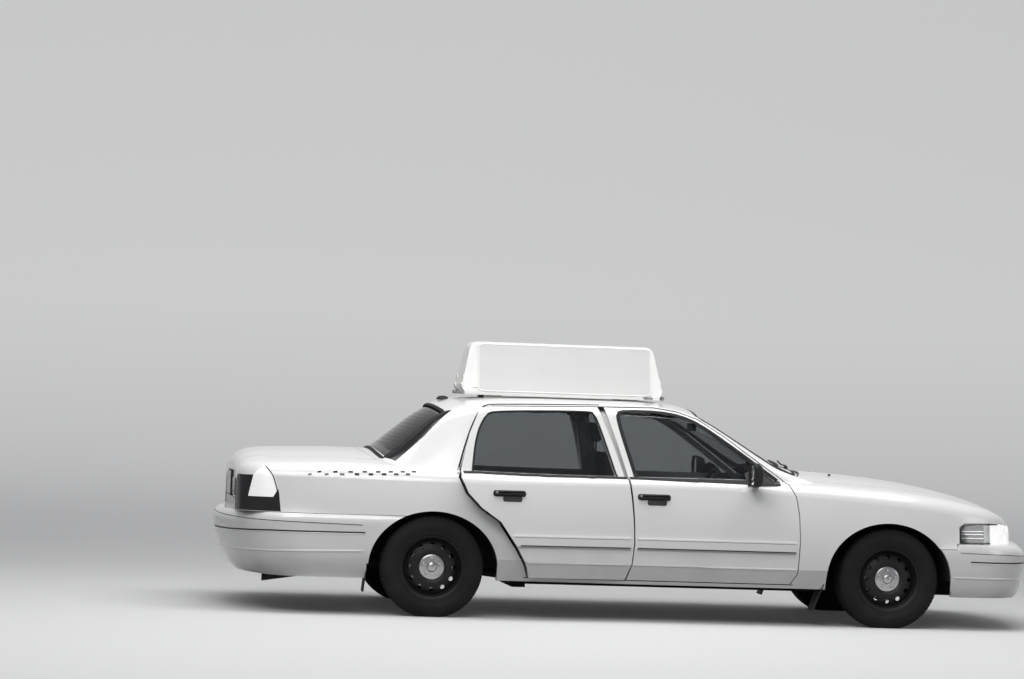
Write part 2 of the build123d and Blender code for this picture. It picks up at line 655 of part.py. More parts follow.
def floor_pan():
    end = REAR_AXLE - 1170
    top = FLOOR_Z + FLOOR_WALL
    profile = [(ENGINE_BAY_END, FLOOR_Z), (SEAT_PAN_X, FLOOR_Z), (SEAT_PAN_X - 60, KICK_Z),
               (TRUNK_WELL_X + 60, KICK_Z), (TRUNK_WELL_X, TRUNK_FLOOR_Z), (end, TRUNK_FLOOR_Z),
               (end, TRUNK_FLOOR_Z + FLOOR_WALL), (TRUNK_WELL_X - 12, TRUNK_FLOOR_Z + FLOOR_WALL),
               (TRUNK_WELL_X + 48, KICK_Z + FLOOR_WALL), (SEAT_PAN_X - 48, KICK_Z + FLOOR_WALL),
               (SEAT_PAN_X + 12, top), (ENGINE_BAY_END, top)]
    pan = side_prism(profile, -CABIN_HALF, CABIN_HALF)
    for side in (LEFT, RIGHT):
        y_near = side * (REAR_TRACK / 2 - TYRE_WIDTH / 2 - 30)
        pan -= block(REAR_AXLE - ARCH_HALF, REAR_AXLE + ARCH_HALF, y_near, side * 900, 0, 1000)
    tunnel = block(ENGINE_BAY_END, SEAT_PAN_X, -TUNNEL_HALF, TUNNEL_HALF, FLOOR_Z, TUNNEL_Z)
    bore = block(ENGINE_BAY_END, SEAT_PAN_X - 80, 12 - TUNNEL_HALF, TUNNEL_HALF - 12, 0, TUNNEL_Z - 12)
    return (pan + tunnel) - bore


def rear_wheel_house():
    y_near = -(REAR_TRACK / 2 - TYRE_WIDTH / 2 - 30)
    shell = arch(REAR_AXLE, REAR_HOUSE_RISE, -BEYOND, y_near, -HOUSE_WALL)
    shell -= arch(REAR_AXLE, REAR_HOUSE_RISE, -BEYOND, y_near - HOUSE_WALL, 0)
    shell &= lower_skin
    shell -= block(REAR_AXLE - 600, REAR_AXLE + 600, -BEYOND, 0, 0, HUB_Z + 60)
    return largest(shell)


def front_wheel_house():
    y_near = -520.0
    house = arch(FRONT_ARCH_X, FRONT_HOUSE_RISE, -BEYOND, y_near, -HOUSE_WALL)
    house -= arch(FRONT_ARCH_X, FRONT_HOUSE_RISE, -BEYOND, y_near - HOUSE_WALL, 0)
    house -= block(-600, 600, -BEYOND, 0, 0, HUB_Z)
    house -= block(-180, 150, -560, -480, 0, 600)
    house &= lower_skin
    return largest(house)


def firewall():
    inner = TUNNEL_HALF - FLOOR_WALL
    wall = block(ENGINE_BAY_END, ENGINE_BAY_END + FLOOR_WALL, -CABIN_HALF, CABIN_HALF, FLOOR_Z, 905)
    return wall - block(-500, -440, -inner, inner, 0, TUNNEL_Z - FLOOR_WALL)


SUPPORT_X = 600.0
SUPPORT_Z = 690.0


def radiator_support():
    foot_z = FLOOR_Z + 20 + SEAT_GAP
    frame = block(SUPPORT_X, SUPPORT_X + 40, -620, 620, foot_z, SUPPORT_Z)
    frame -= block(SUPPORT_X - 10, SUPPORT_X + 10, -400, 400, FLOOR_Z + 60, SUPPORT_Z - 30)
    for side in (LEFT, RIGHT):
        start_x = ENGINE_BAY_END + FLOOR_WALL
        frame += block(start_x, SUPPORT_X, side * 475, side * 505, 600, 650)
        buffer = rod((SUPPORT_X + 20, side * 500, SUPPORT_Z), (SUPPORT_X + 20, side * 500, 1000), 12)
        frame += buffer & lower_body(SKIN + SEAT_GAP)
    return frame


HINGE_HEIGHTS = (480.0, 780.0)


def side_frame():
    # Sill, hinge post and centre post of the right side, just inside the doors.
    inner = CABIN_HALF
    outer = DOOR_INNER - SEAT_GAP
    sill = block(A_POST + 80, REAR_AXLE + 600, -outer, -inner, SILL_Z + 10, 400)
    lip = lower_out & block(A_POST - 20, REAR_AXLE + 600, -BEYOND, -outer, 0, DOOR_FOOT_Z - DOOR_GAP)
    hinge_post = block(A_POST + 20, A_POST + 80, -outer, -inner, SILL_Z + 10, 880)
    for z in HINGE_HEIGHTS:
        strap = block(A_POST - 30, A_POST + 80, -outer - 70, -outer + 20, z - 25, z + 25)
        hinge_post += strap - side_prism(FRONT_DOOR, -BEYOND, 0, SEAT_GAP)
    post = [(-outer, 380), (-inner, 380), (-inner, 930), (-560, 1420), (-610, 1420), (-758, 960),
            (-outer, 860)]
    centre = front_prism(make_face(Polyline(*post, close=True)), B_POST - 200, B_POST + 30)
    lean = [(25, 380), (0, BELT_Z), (-120, 1430), (-200, 1430), (-100, BELT_Z), (-85, 380)]
    centre &= side_prism([(B_POST + x, z) for x, z in lean], -BEYOND, 0)
    centre &= canopy_in + lower_skin
    return largest(sill + lip + hinge_post + centre)


# Running gear
RIM_WALL = 7.0
VENTS = 12
LUGS = 5
LUG_CIRCLE = 57.15
ROTOR_INNER = 15.0
ROTOR_WIDTH = 22.0


def tyre():
    half = TYRE_WIDTH / 2
    profile = make_face([
        Line((RIM_RADIUS, -RIM_WIDTH / 2), (RIM_RADIUS + 12, -RIM_WIDTH / 2 - 4)),
        ThreePointArc((RIM_RADIUS + 12, -RIM_WIDTH / 2 - 4), (RIM_RADIUS + 62, -half),
                      (TYRE_RADIUS - 22, -half + 12)),
        ThreePointArc((TYRE_RADIUS - 22, -half + 12), (TYRE_RADIUS - 6, -half + 22),
                      (TYRE_RADIUS, -half + 42)),
        Line((TYRE_RADIUS, -half + 42), (TYRE_RADIUS, half - 42)),
        ThreePointArc((TYRE_RADIUS, half - 42), (TYRE_RADIUS - 6, half - 22),
                      (TYRE_RADIUS - 22, half - 12)),
        ThreePointArc((TYRE_RADIUS - 22, half - 12), (RIM_RADIUS + 62, half),
                      (RIM_RADIUS + 12, RIM_WIDTH / 2 + 4)),
        Line((RIM_RADIUS + 12, RIM_WIDTH / 2 + 4), (RIM_RADIUS, RIM_WIDTH / 2)),
        Line((RIM_RADIUS, RIM_WIDTH / 2), (RIM_RADIUS, -RIM_WIDTH / 2)),
    ])
    return revolve(Plane.XY * profile, axis=Axis.Y)


def wheel():
    # The disc face looks along -Y, as on the car's right side.
    half = RIM_WIDTH / 2
    barrel_points = [(RIM_RADIUS, -half), (RIM_RADIUS, half), (RIM_RADIUS - RIM_WALL, half),
                     (RIM_RADIUS - 20, half - 24), (RIM_RADIUS - 20, 24 - half),
                     (RIM_RADIUS - RIM_WALL, -half)]
    barrel = revolve(make_face(Polyline(*barrel_points, close=True)), axis=Axis.Y)
    barrel -= revolve(make_face(Polyline((0, half), (RIM_RADIUS - 9, half), (RIM_RADIUS - 30, half - 26),
                                         (RIM_RADIUS - 30, 20 - half), (RIM_RADIUS - 9, -half),
                                         (0, -half), close=True)), axis=Axis.Y)
    disc_points = [(0, -62), (84, -62), (100, -74), (150, -66), (RIM_RADIUS - 20, -40),
                   (RIM_RADIUS - 20, -32), (148, -58), (100, -66), (84, -50), (0, -50)]
    disc = revolve(make_face(Polyline(*disc_points, close=True)), axis=Axis.Y)
    for index in range(VENTS):
        angle = math.radians(360 / VENTS * index)
        spot = Vector(147 * math.cos(angle), 0, 147 * math.sin(angle))
        disc -= Pos(spot.X, -60, spot.Z) * Rot(90, 0, 0) * Cylinder(15, 60)
    cap = Pos(0, -72, 0) * Rot(90, 0, 0) * Cylinder(34, 22)
    shape = barrel + disc + cap
    for index in range(LUGS):
        angle = math.radians(90 + 360 / LUGS * index)
        shape += Pos(LUG_CIRCLE * math.cos(angle), -68, LUG_CIRCLE * math.sin(angle)) * \
            Rot(90, 0, 0) * Cylinder(10, 16)
    rotor = Pos(0, ROTOR_INNER - ROTOR_WIDTH / 2, 0) * Rot(90, 0, 0) * Cylinder(145, ROTOR_WIDTH)
    bell = Pos(0, -24, 0) * Rot(90, 0, 0) * Cylinder(78, 54)
    return shape + rotor + bell


KNUCKLE_AXIS_Y = -740.0
LOWER_BALL_Z = HUB_Z - 143
UPPER_BALL_Z = HUB_Z + 140
BALL_HEIGHT = 46.0


def knuckle():
    end_y = -FRONT_TRACK / 2 + ROTOR_INNER + SEAT_GAP
    reach = BALL_HEIGHT / 2 + SEAT_GAP
    upright = rod((0, KNUCKLE_AXIS_Y, LOWER_BALL_Z + reach), (0, KNUCKLE_AXIS_Y, UPPER_BALL_Z - reach), 22)
    spindle = rod((0, KNUCKLE_AXIS_Y, HUB_Z), (0, end_y, HUB_Z), 28)
    arm = block(20, 150, KNUCKLE_AXIS_Y - 12, KNUCKLE_AXIS_Y + 12, HUB_Z - 80, HUB_Z - 56)
    arm += block(0, 40, KNUCKLE_AXIS_Y - 16, KNUCKLE_AXIS_Y + 16, HUB_Z - 90, HUB_Z - 46)
    return upright + spindle + arm


LOWER_ARM = 14.0
UPPER_ARM = 11.0


def suspension_arm(inner_y, inner_z, outer_z, half_spread, radius):
    tip = (0, KNUCKLE_AXIS_Y, outer_z)
    arm = rod((half_spread, inner_y, inner_z), tip, radius) + rod((-half_spread, inner_y, inner_z), tip, radius)
    arm += rod((-half_spread - 20, inner_y, inner_z), (half_spread + 20, inner_y, inner_z), radius)
    ball = Pos(*tip) * Cylinder(24, BALL_HEIGHT)
    return arm + ball


def front_suspension():
    near = -RAIL_Y - RAIL_WIDTH / 2
    low = suspension_arm(near - LOWER_ARM, LOWER_BALL_Z + 60, LOWER_BALL_Z, 130, LOWER_ARM)
    high = suspension_arm(near - UPPER_ARM, UPPER_BALL_Z + 10, UPPER_BALL_Z, 90, UPPER_ARM)
    tower = block(-110, 110, near, near + 30, FLOOR_Z, UPPER_BALL_Z + 40)
    return low, high + tower


def rear_axle():
    hub_y = REAR_TRACK / 2 - ROTOR_INNER - SEAT_GAP
    tube = rod((REAR_AXLE, -hub_y, HUB_Z), (REAR_AXLE, hub_y, HUB_Z), 38)
    carrier = Pos(REAR_AXLE, 0, HUB_Z) * Sphere(125)
    nose = rod((REAR_AXLE, 0, HUB_Z), (REAR_AXLE + 210, 0, HUB_Z), 55)
    shaft = rod((REAR_AXLE + 200, 0, HUB_Z), (GEARBOX_END - 0.5, 0, HUB_Z + 10), 45)
    axle = tube + carrier + nose + shaft
    for y in (-RAIL_Y + 90, RAIL_Y - 90):
        axle += rod((REAR_AXLE, y, HUB_Z - 10), (REAR_AXLE + 592, y, 260), 22)
        axle += block(REAR_AXLE - 40, REAR_AXLE + 40, y - 30, y + 30, HUB_Z - 60, HUB_Z)
    return axle


# Heavy masses and what hangs under the floor
ENGINE_Z = 280.0
GEARBOX_END = -1000.0


def engine():
    motor = block(ENGINE_BAY_END + 40, 430, -270, 270, ENGINE_Z, 780)
    return motor + block(GEARBOX_END, ENGINE_BAY_END + 40, -120, 120, ENGINE_Z, 440)


def fuel_tank():
    tank = block(REAR_AXLE - 234, REAR_AXLE - 494, -290, 330, 290, KICK_Z)
    return fillet(tank.edges().filter_by(Axis.Y), 30)


PIPE_RADIUS = 25.0


def exhaust():
    side = -230.0
    over_axle = -340.0
    head = rod((GEARBOX_END - 100, side, 265), (REAR_AXLE + 1216, side, 265), PIPE_RADIUS)
    can = block(REAR_AXLE + 716, REAR_AXLE + 1216, side - 100, side + 100, 215, FLOOR_Z - SEAT_GAP)
    can = fillet(can.edges().filter_by(Axis.X), 45)
    route = FilletPolyline((REAR_AXLE + 716, side, 285), (REAR_AXLE + 600, side - 10, 295),
                           (REAR_AXLE + 200, over_axle, 445), (REAR_AXLE - 80, over_axle, 445),
                           (REAR_AXLE - 265, over_axle - 5, 352), (REAR_AXLE - 490, -512, 318),
                           (REAR_AXLE - 1250, -540, 198), radius=60)
    pipe = sweep(Plane(origin=route @ 0, z_dir=route % 0) * Circle(PIPE_RADIUS), path=route)
    return head + can + pipe


# Cabin
FLOOR_TOP = FLOOR_Z + FLOOR_WALL + SEAT_GAP
SEAT_HALF = 236.0
SEAT_Y = TUNNEL_HALF + SEAT_HALF + 10


def padded(points, y_from, y_to, radius):
    piece = side_prism(points, y_from, y_to)
    return fillet(piece.edges().filter_by(Axis.Y), radius)


def front_seat(y):
    cushion = padded([(-1190, FLOOR_TOP), (-1190, 590), (-1700, 560), (-1700, FLOOR_TOP)],
                     y - SEAT_HALF, y + SEAT_HALF, 40)
    back = padded([(-1610, 540), (-1730, 1120), (-1850, 1120), (-1745, 500)],
                  y - SEAT_HALF, y + SEAT_HALF, 35)
    rest = padded([(-1762, 1170), (-1785, 1310), (-1885, 1310), (-1862, 1170)], y - 125, y + 125, 30)
    rest += block(-1815, -1803, y - 60, y - 48, 1100, 1200) + block(-1815, -1803, y + 48, y + 60, 1100, 1200)
    return cushion + back + rest


def rear_seat():
    low = KICK_Z + FLOOR_WALL + SEAT_GAP
    half = 640.0
    cushion = padded([(REAR_AXLE + 640, low), (REAR_AXLE + 660, low + 120), (REAR_AXLE + 160, low + 90),
                      (REAR_AXLE + 140, low)], -half, half, 35)
    back = padded([(REAR_AXLE + 250, low + 20), (REAR_AXLE + 100, 960), (REAR_AXLE + 10, 960),
                   (REAR_AXLE + 110, low)], -half, half, 35)
    return cushion + back


def dash():
    outline = [(-560, 640), (-560, 890), (-640, 925), (-700, 950), (-860, 932), (-890, 880),
               (-800, 720), (-790, 640)]
    return side_prism(outline, -CABIN_HALF, CABIN_HALF)


WHEEL_CENTRE = (-1030.0, 380.0, 850.0)
WHEEL_TILT = 62.0


def steering_wheel():
    plane = Location(WHEEL_CENTRE, (0, -WHEEL_TILT, 0))
    rim_ring = Torus(185, 14)
    hub = Cylinder(55, 40)
    spokes = Box(30, 350, 14) + Pos(-85, 0, 0) * Box(160, 34, 14)
    column = Pos(0, 0, -150) * Cylinder(24, 300)
    return (plane * (rim_ring + hub + spokes + column)) - dash()


# Outside pieces on the body
SIGN_FRONT = -1441.0
SIGN_REAR = REAR_AXLE + 226
SIGN_BASE_Z = 1476.0
SIGN_TOP_Z = 1837.0
SIGN_RAKE = 77.0
SIGN_HALF = 235.0
SIGN_TOP_HALF = 125.0
SIGN_WALL = 15.0
SIGN_RECESS = 8.0


def sign_outline(inset):
    low = SIGN_BASE_Z + inset
    high = SIGN_TOP_Z - inset
    face = make_face(Polyline((SIGN_REAR + inset, low), (SIGN_FRONT - inset, low),
                              (SIGN_FRONT - SIGN_RAKE - inset, high), (SIGN_REAR + SIGN_RAKE + inset, high),
                              close=True))
    plane = Plane(origin=(0, 400, 0), x_dir=(1, 0, 0), z_dir=(0, -1, 0))
    return extrude(plane * fillet(face.vertices(), 60 - inset / 2), amount=800)


def sign_section(inset, end_inset):
    low = SIGN_BASE_Z + end_inset
    high = SIGN_TOP_Z - end_inset
    face = make_face(Polyline((inset - SIGN_HALF, low), (SIGN_HALF - inset, low),
                              (SIGN_TOP_HALF - inset, high), (inset - SIGN_TOP_HALF, high), close=True))
    return front_prism(face, SIGN_REAR - 50, SIGN_FRONT + 50)


def roof_sign():
    housing = sign_outline(0) & sign_section(0, 0)
    housing -= sign_outline(45) & (sign_section(0, 0) - sign_section(SIGN_RECESS, 0))
    housing -= sign_outline(SIGN_WALL + 10) & sign_section(SIGN_WALL + SIGN_RECESS, SIGN_WALL)
    for x in (SIGN_FRONT - 230, SIGN_REAR + 230):
        for y in (-170, 170):
            foot = block(x - 60, x + 60, y - 25, y + 25, ROOF_EDGE_Z, SIGN_BASE_Z)
            housing += foot - canopy_out
    return housing


MIRROR_Z = 1010.0


def door_mirror():
    # The head tapers forward from the glass, on a short arm from the door's belt.
    def face(x, width, height, y, radius):
        plane = Plane(origin=(x, y, MIRROR_Z), x_dir=(0, 1, 0), z_dir=(1, 0, 0))
        return plane * RectangleRounded(width, height, radius)
    head = loft([face(-985, 205, 165, -1032, 45), face(-930, 205, 165, -1032, 45),
                 face(-840, 130, 110, -1005, 40)])
    head -= Pos(-985, -1032, MIRROR_Z) * Box(24, 180, 140)
    arm = block(-930, -860, -960, -850, 930, 975) - lower_out - canopy_out
    return head + largest(arm)


os.makedirs("parts", exist_ok=True)
save(chassis(), "chassis_frame")
save(floor_pan() + firewall(), "floor_pan")
front_house = front_wheel_house()
rear_house = rear_wheel_house()
save(Compound([front_house, other_side(front_house), rear_house, other_side(rear_house)]), "wheel_houses")
save(radiator_support(), "radiator_support")


save_pair(side_frame(), "side_frames")
save(roof_shell(), "roof")
save_pair(fender(), "fenders")
save_pair(quarter(), "quarter_panels")
save(rear_deck(), "rear_deck")
save(cowl(), "cowl")
save(hood(), "hood")
save(trunk_lid(), "trunk_lid")
save(rear_panel(), "rear_panel")
save(windshield, "windshield")
save(backlight, "backlight")
save(front_door, "front_door_right")
save(other_side(front_door), "front_door_left")
save(front_glass, "front_door_glass_right")
save(other_side(front_glass), "front_door_glass_left")
save(ajar(rear_door), "rear_door_right")
save(other_side(rear_door), "rear_door_left")
save(ajar(rear_glass), "rear_door_glass_right")
save(other_side(rear_glass), "rear_door_glass_left")
mirror_right = door_mirror()
save(mirror_right, "mirror_right")
save(other_side(mirror_right), "mirror_left")
save(front_bumper(), "front_bumper")
save(rear_bumper(), "rear_bumper")
save(grille(), "grille")
save_pair(headlamp(), "headlamps")
save_pair(tail_lamp(), "tail_lamps")
save(roof_sign(), "roof_sign")
save(engine(), "engine")
save(fuel_tank(), "fuel_tank")
save(exhaust(), "exhaust")
save(dash(), "dash")
save(steering_wheel(), "steering_wheel")
save(Compound([front_seat(-SEAT_Y), front_seat(SEAT_Y)]), "front_seats")
save(rear_seat(), "rear_seat")

WHEEL_PLACES = [
    ("front_right", 0.0, -FRONT_TRACK / 2),
    ("front_left", 0.0, FRONT_TRACK / 2),
    ("rear_right", REAR_AXLE, -REAR_TRACK / 2),
    ("rear_left", REAR_AXLE, REAR_TRACK / 2),
]
rubber = tyre()
rim = wheel()
for name, x, y in WHEEL_PLACES:
    turned = rim if y < 0 else other_side(rim)
    save(Pos(x, y, HUB_Z) * rubber, "tyre_" + name)
    save(Pos(x, y, HUB_Z) * turned, "wheel_" + name)

upright = knuckle()
save(upright, "knuckle_right")
save(other_side(upright), "knuckle_left")
lower_arm, upper_arm = front_suspension()
save(Compound([lower_arm, other_side(lower_arm), upper_arm, other_side(upper_arm)]), "front_suspension")
save(rear_axle(), "rear_axle")
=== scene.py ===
import math
import bmesh
import bpy
from mathutils import Matrix, Vector
from mathutils.bvhtree import BVHTree


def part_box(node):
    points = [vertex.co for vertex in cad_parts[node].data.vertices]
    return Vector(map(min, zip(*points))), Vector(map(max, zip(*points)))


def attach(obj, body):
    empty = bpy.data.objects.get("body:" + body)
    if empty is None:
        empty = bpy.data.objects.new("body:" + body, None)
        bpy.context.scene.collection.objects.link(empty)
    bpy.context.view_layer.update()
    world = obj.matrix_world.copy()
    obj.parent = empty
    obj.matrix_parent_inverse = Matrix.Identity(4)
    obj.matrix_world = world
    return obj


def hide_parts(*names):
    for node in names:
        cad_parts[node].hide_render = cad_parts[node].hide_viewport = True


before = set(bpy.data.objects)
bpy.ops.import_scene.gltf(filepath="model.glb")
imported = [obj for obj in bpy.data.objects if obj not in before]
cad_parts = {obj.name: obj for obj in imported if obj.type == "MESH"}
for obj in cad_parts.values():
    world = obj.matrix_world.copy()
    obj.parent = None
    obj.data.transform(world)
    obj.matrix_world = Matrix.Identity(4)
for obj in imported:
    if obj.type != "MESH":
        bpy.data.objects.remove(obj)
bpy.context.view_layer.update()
print("frame loaded")

# Lengths for car and mm are in millimetres: x forward from the front axle, y to the left, z up from the
# ground. Blender's own operators take metres.
rearAxleX = -3066
middleX = 1686.5


def car(x, y, z):
    return Vector(((x + middleX) / 1000, y / 1000, z / 1000))


def mm(value):
    return value / 1000


# Materials

def feed(tree, node, values):
    # A value that is a socket is linked, and any other is set.
    for key, value in values.items():
        if isinstance(value, bpy.types.NodeSocket):
            tree.links.new(value, node.inputs[key])
        else:
            node.inputs[key].default_value = value


def nodeOf(tree, kind, values=None, **settings):
    node = tree.nodes.new("ShaderNode" + kind)
    for key, value in settings.items():
        setattr(node, key, value)
    feed(tree, node, values or {})
    return node


def objectPlace(tree):
    return nodeOf(tree, "TexCoord").outputs["Object"]


def ramp(tree, fac, low, high, fromColour=(0, 0, 0, 1), toColour=(1, 1, 1, 1)):
    node = nodeOf(tree, "ValToRGB", {"Fac": fac})
    for element, position, colour in zip(node.color_ramp.elements, (low, high), (fromColour, toColour)):
        element.position = position
        element.color = colour
    return node.outputs["Color"]


def maths(tree, operation, *values, clamp=False):
    return nodeOf(tree, "Math", dict(enumerate(values)), operation=operation, use_clamp=clamp).outputs[0]


def mixed(tree, factor, a, b):
    return nodeOf(tree, "Mix", {"Factor": factor, "A": a, "B": b}, data_type="RGBA").outputs["Result"]


def bumped(tree, height, strength, distance):
    values = {"Height": height, "Strength": strength, "Distance": distance}
    return nodeOf(tree, "Bump", values).outputs["Normal"]


def bands(tree, scale, direction, phase=0.0):
    values = {"Vector": objectPlace(tree), "Scale": scale, "Phase Offset": phase}
    return nodeOf(tree, "TexWave", values, bands_direction=direction).outputs["Fac"]


def newGroup(name, inputs, outputs):
    group = bpy.data.node_groups.new(name, "ShaderNodeTree")
    for label, kind, default in inputs:
        socket = group.interface.new_socket(name=label, in_out="INPUT", socket_type="NodeSocket" + kind)
        socket.default_value = default
    for label, kind in outputs:
        group.interface.new_socket(name=label, in_out="OUTPUT", socket_type="NodeSocket" + kind)
    return group, group.nodes.new("NodeGroupInput").outputs, group.nodes.new("NodeGroupOutput")


def makeRoadDust():
    # Pale dust that thickens towards the ground and gathers in soft patches.
    group, given, result = newGroup(
        "roadDust",
        [("Colour", "Color", (0.5, 0.5, 0.5, 1)), ("Dust Colour", "Color", (0.3, 0.29, 0.27, 1)),
         ("Roughness", "Float", 0.4), ("Amount", "Float", 0.4), ("Height", "Float", 0.5),
         ("Patch Scale", "Float", 5.0)],
        [("Colour", "Color"), ("Roughness", "Float")])
    place = objectPlace(group)
    height = nodeOf(group, "SeparateXYZ", {0: place}).outputs["Z"]
    low = nodeOf(group, "MapRange", {"Value": height, "From Min": 0.1, "From Max": given["Height"],
                                     "To Min": 1.0, "To Max": 0.04}).outputs["Result"]
    noise = nodeOf(group, "TexNoise", {"Vector": place, "Scale": given["Patch Scale"], "Detail": 6})
    mask = maths(group, "MULTIPLY", low, ramp(group, noise.outputs["Fac"], 0.35, 0.75))
    strength = maths(group, "MULTIPLY", mask, given["Amount"], clamp=True)
    feed(group, result, {
        "Colour": mixed(group, strength, given["Colour"], given["Dust Colour"]),
        "Roughness": maths(group, "MULTIPLY_ADD", strength, 0.5, given["Roughness"], clamp=True)})
    return group


def makeFineGrain():
    # A cell grain, as on moulded plastic, cloth or rubber.
    group, given, result = newGroup("fineGrain", [("Scale", "Float", 900.0)], [("Height", "Float")])
    cells = nodeOf(group, "TexVoronoi", {"Vector": objectPlace(group), "Scale": given["Scale"]})
    feed(group, result, {"Height": cells.outputs["Distance"]})
    return group


roadDust = makeRoadDust()
fineGrain = makeFineGrain()


def startMaterial(name, colour, roughness, metallic=0.0, **sockets):
    material = bpy.data.materials.new(name)
    material.use_nodes = True
    tree = material.node_tree
    shader = tree.nodes["Principled BSDF"]
    feed(tree, shader, {"Base Color": (*colour, 1), "Roughness": roughness, "Metallic": metallic})
    feed(tree, shader, {key.replace("_", " "): value for key, value in sockets.items()})
    material.diffuse_color = (*colour, 1)
    return material, tree, shader


def addDust(tree, shader, tone, amount, height, patchScale=5.0, dustColour=(0.34, 0.33, 0.31)):
    dust = nodeOf(tree, "Group", node_tree=roadDust)
    feed(tree, dust, {"Colour": tone, "Dust Colour": (*dustColour, 1), "Amount": amount, "Height": height,
                      "Roughness": shader.inputs["Roughness"].default_value, "Patch Scale": patchScale})
    feed(tree, shader, {"Base Color": dust.outputs["Colour"], "Roughness": dust.outputs["Roughness"]})


def cloudyColour(tree, colour, shift, scale):
    # A soft drift between two close tones.
    noise = nodeOf(tree, "TexNoise", {"Vector": objectPlace(tree), "Scale": scale, "Detail": 5})
    dark = tuple(value * (1 - shift) for value in colour)
    light = tuple(min(1, value * (1 + shift)) for value in colour)
    return ramp(tree, noise.outputs["Fac"], 0.3, 0.7, (*dark, 1), (*light, 1))


def plainFinish(name, colour, roughness, grainScale, grainStrength, dustAmount, dustHeight=1.0, shift=0.15,
                metallic=0.0, **sockets):
    material, tree, shader = startMaterial(name, colour, roughness, metallic, **sockets)
    addDust(tree, shader, cloudyColour(tree, colour, shift, 9), dustAmount, dustHeight)
    if grainStrength:
        grain = nodeOf(tree, "Group", node_tree=fineGrain)
        feed(tree, grain, {"Scale": grainScale})
        feed(tree, shader, {"Normal": bumped(tree, grain.outputs["Height"], grainStrength, 0.0004)})
    return material


paintLook = {"colour": (0.79, 0.79, 0.775), "roughness": 0.34, "coat": 1.0, "coatRoughness": 0.10,
             "dustHeight": 0.62, "dust": 0.5}


def makePaint():
    look = paintLook
    material, tree, shader = startMaterial("bodyPaint", look["colour"], look["roughness"],
                                           Coat_Weight=look["coat"], Coat_Roughness=look["coatRoughness"])
    tone = cloudyColour(tree, look["colour"], 0.012, 1.6)
    addDust(tree, shader, tone, look["dust"], look["dustHeight"], 4.0, (0.47, 0.46, 0.44))
    return material


def makeGlass(name, colour, bend=1.45):
    material, tree, shader = startMaterial(name, colour, 0.0, Transmission_Weight=1.0, IOR=bend)
    feed(tree, shader, {"Base Color": cloudyColour(tree, colour, 0.02, 3)})
    return material


def makeLens(name, colour, ribs, direction, strength=0.35, clear=1.0, **sockets):
    # Moulded plastic with ribs on its surface, clear or milky.
    material, tree, shader = startMaterial(name, colour, 0.04, Transmission_Weight=clear, IOR=1.46, **sockets)
    feed(tree, shader, {"Base Color": cloudyColour(tree, colour, 0.03, 12),
                        "Normal": bumped(tree, bands(tree, ribs, direction), strength, 0.0012)})
    return material


def makeMetal(name, colour, roughness, shift, dust):
    material, tree, shader = startMaterial(name, colour, roughness, 1.0)
    addDust(tree, shader, cloudyColour(tree, colour, shift, 30), dust, 0.8, 12.0)
    return material


def makeCloth():
    # A woven seat cloth: two crossed bands of threads.
    colour = (0.045, 0.045, 0.048)
    material, tree, shader = startMaterial("seatCloth", colour, 0.85, Sheen_Weight=0.25)
    weave = maths(tree, "MULTIPLY", bands(tree, 160, "X"), bands(tree, 160, "Z"))
    feed(tree, shader, {"Base Color": cloudyColour(tree, colour, 0.2, 14),
                        "Normal": bumped(tree, weave, 0.5, 0.0008)})
    return material


def makeSignFace():
    # Blank frosted panel, a little brighter where the tubes stand behind it.
    material, tree, shader = startMaterial("signPanel", (0.70, 0.70, 0.69), 0.32, Emission_Strength=0.02)
    glow = ramp(tree, bands(tree, 1.7, "Z", 1.2), 0.0, 1.0, (0.62, 0.62, 0.61, 1), (1, 1, 0.98, 1))
    feed(tree, shader, {"Emission Color": glow})
    addDust(tree, shader, cloudyColour(tree, (0.60, 0.60, 0.59), 0.03, 2.2), 0.2, 1.6, 3.0, (0.5, 0.5, 0.48))
    return material


paint = makePaint()
windowGlass = makeGlass("windowGlass", (0.44, 0.46, 0.47))
rearGlass = makeGlass("backlightGlass", (0.08, 0.085, 0.09), 1.2)
headlampLens = makeLens("headlampLens", (0.97, 0.98, 0.98), 26, "Y", 0.1)
flutedLens = makeLens("flutedLens", (0.97, 0.98, 0.98), 60, "Y", 0.3, 0.75, Emission_Strength=0.2)
tailLens = makeLens("tailLampLens", (0.90, 0.89, 0.88), 60, "Z", clear=0.05,
                    Emission_Color=(1, 0.98, 0.97, 1), Emission_Strength=0.22)
linerWhite = plainFinish("lampLiner", (0.78, 0.78, 0.77), 0.3, 0, 0, 0.0, 1.0, 0.03)
linerDark = plainFinish("lampLinerDark", (0.07, 0.07, 0.075), 0.3, 0, 0, 0.0, 1.0, 0.05)
blackTrim = plainFinish("blackTrim", (0.016, 0.016, 0.017), 0.52, 1400, 0.35, 0.15, Specular_IOR_Level=0.3)
sealRubber = plainFinish("sealRubber", (0.012, 0.012, 0.013), 0.62, 2200, 0.25, 0.12, Specular_IOR_Level=0.3)
glossBlack = plainFinish("glossBlack", (0.012, 0.012, 0.013), 0.16, 0, 0, 0.1)
tyreRubber = plainFinish("tyreRubber", (0.010, 0.010, 0.0105), 0.8, 700, 0.35, 0.05, 0.7,
                         Specular_IOR_Level=0.25)
wheelPaint = plainFinish("wheelPaint", (0.008, 0.008, 0.0085), 0.5, 900, 0.12, 0.04, 0.7,
                         Specular_IOR_Level=0.3)
underPaint = plainFinish("underbodyPaint", (0.012, 0.012, 0.013), 0.8, 600, 0.4, 0.08, 0.6,
                         Specular_IOR_Level=0.2)
castMetal = makeMetal("castMetal", (0.34, 0.34, 0.34), 0.55, 0.2, 0.5)
rustyIron = plainFinish("rustyIron", (0.030, 0.026, 0.024), 0.8, 500, 0.6, 0.1, 0.7, 0.4, 0.2)
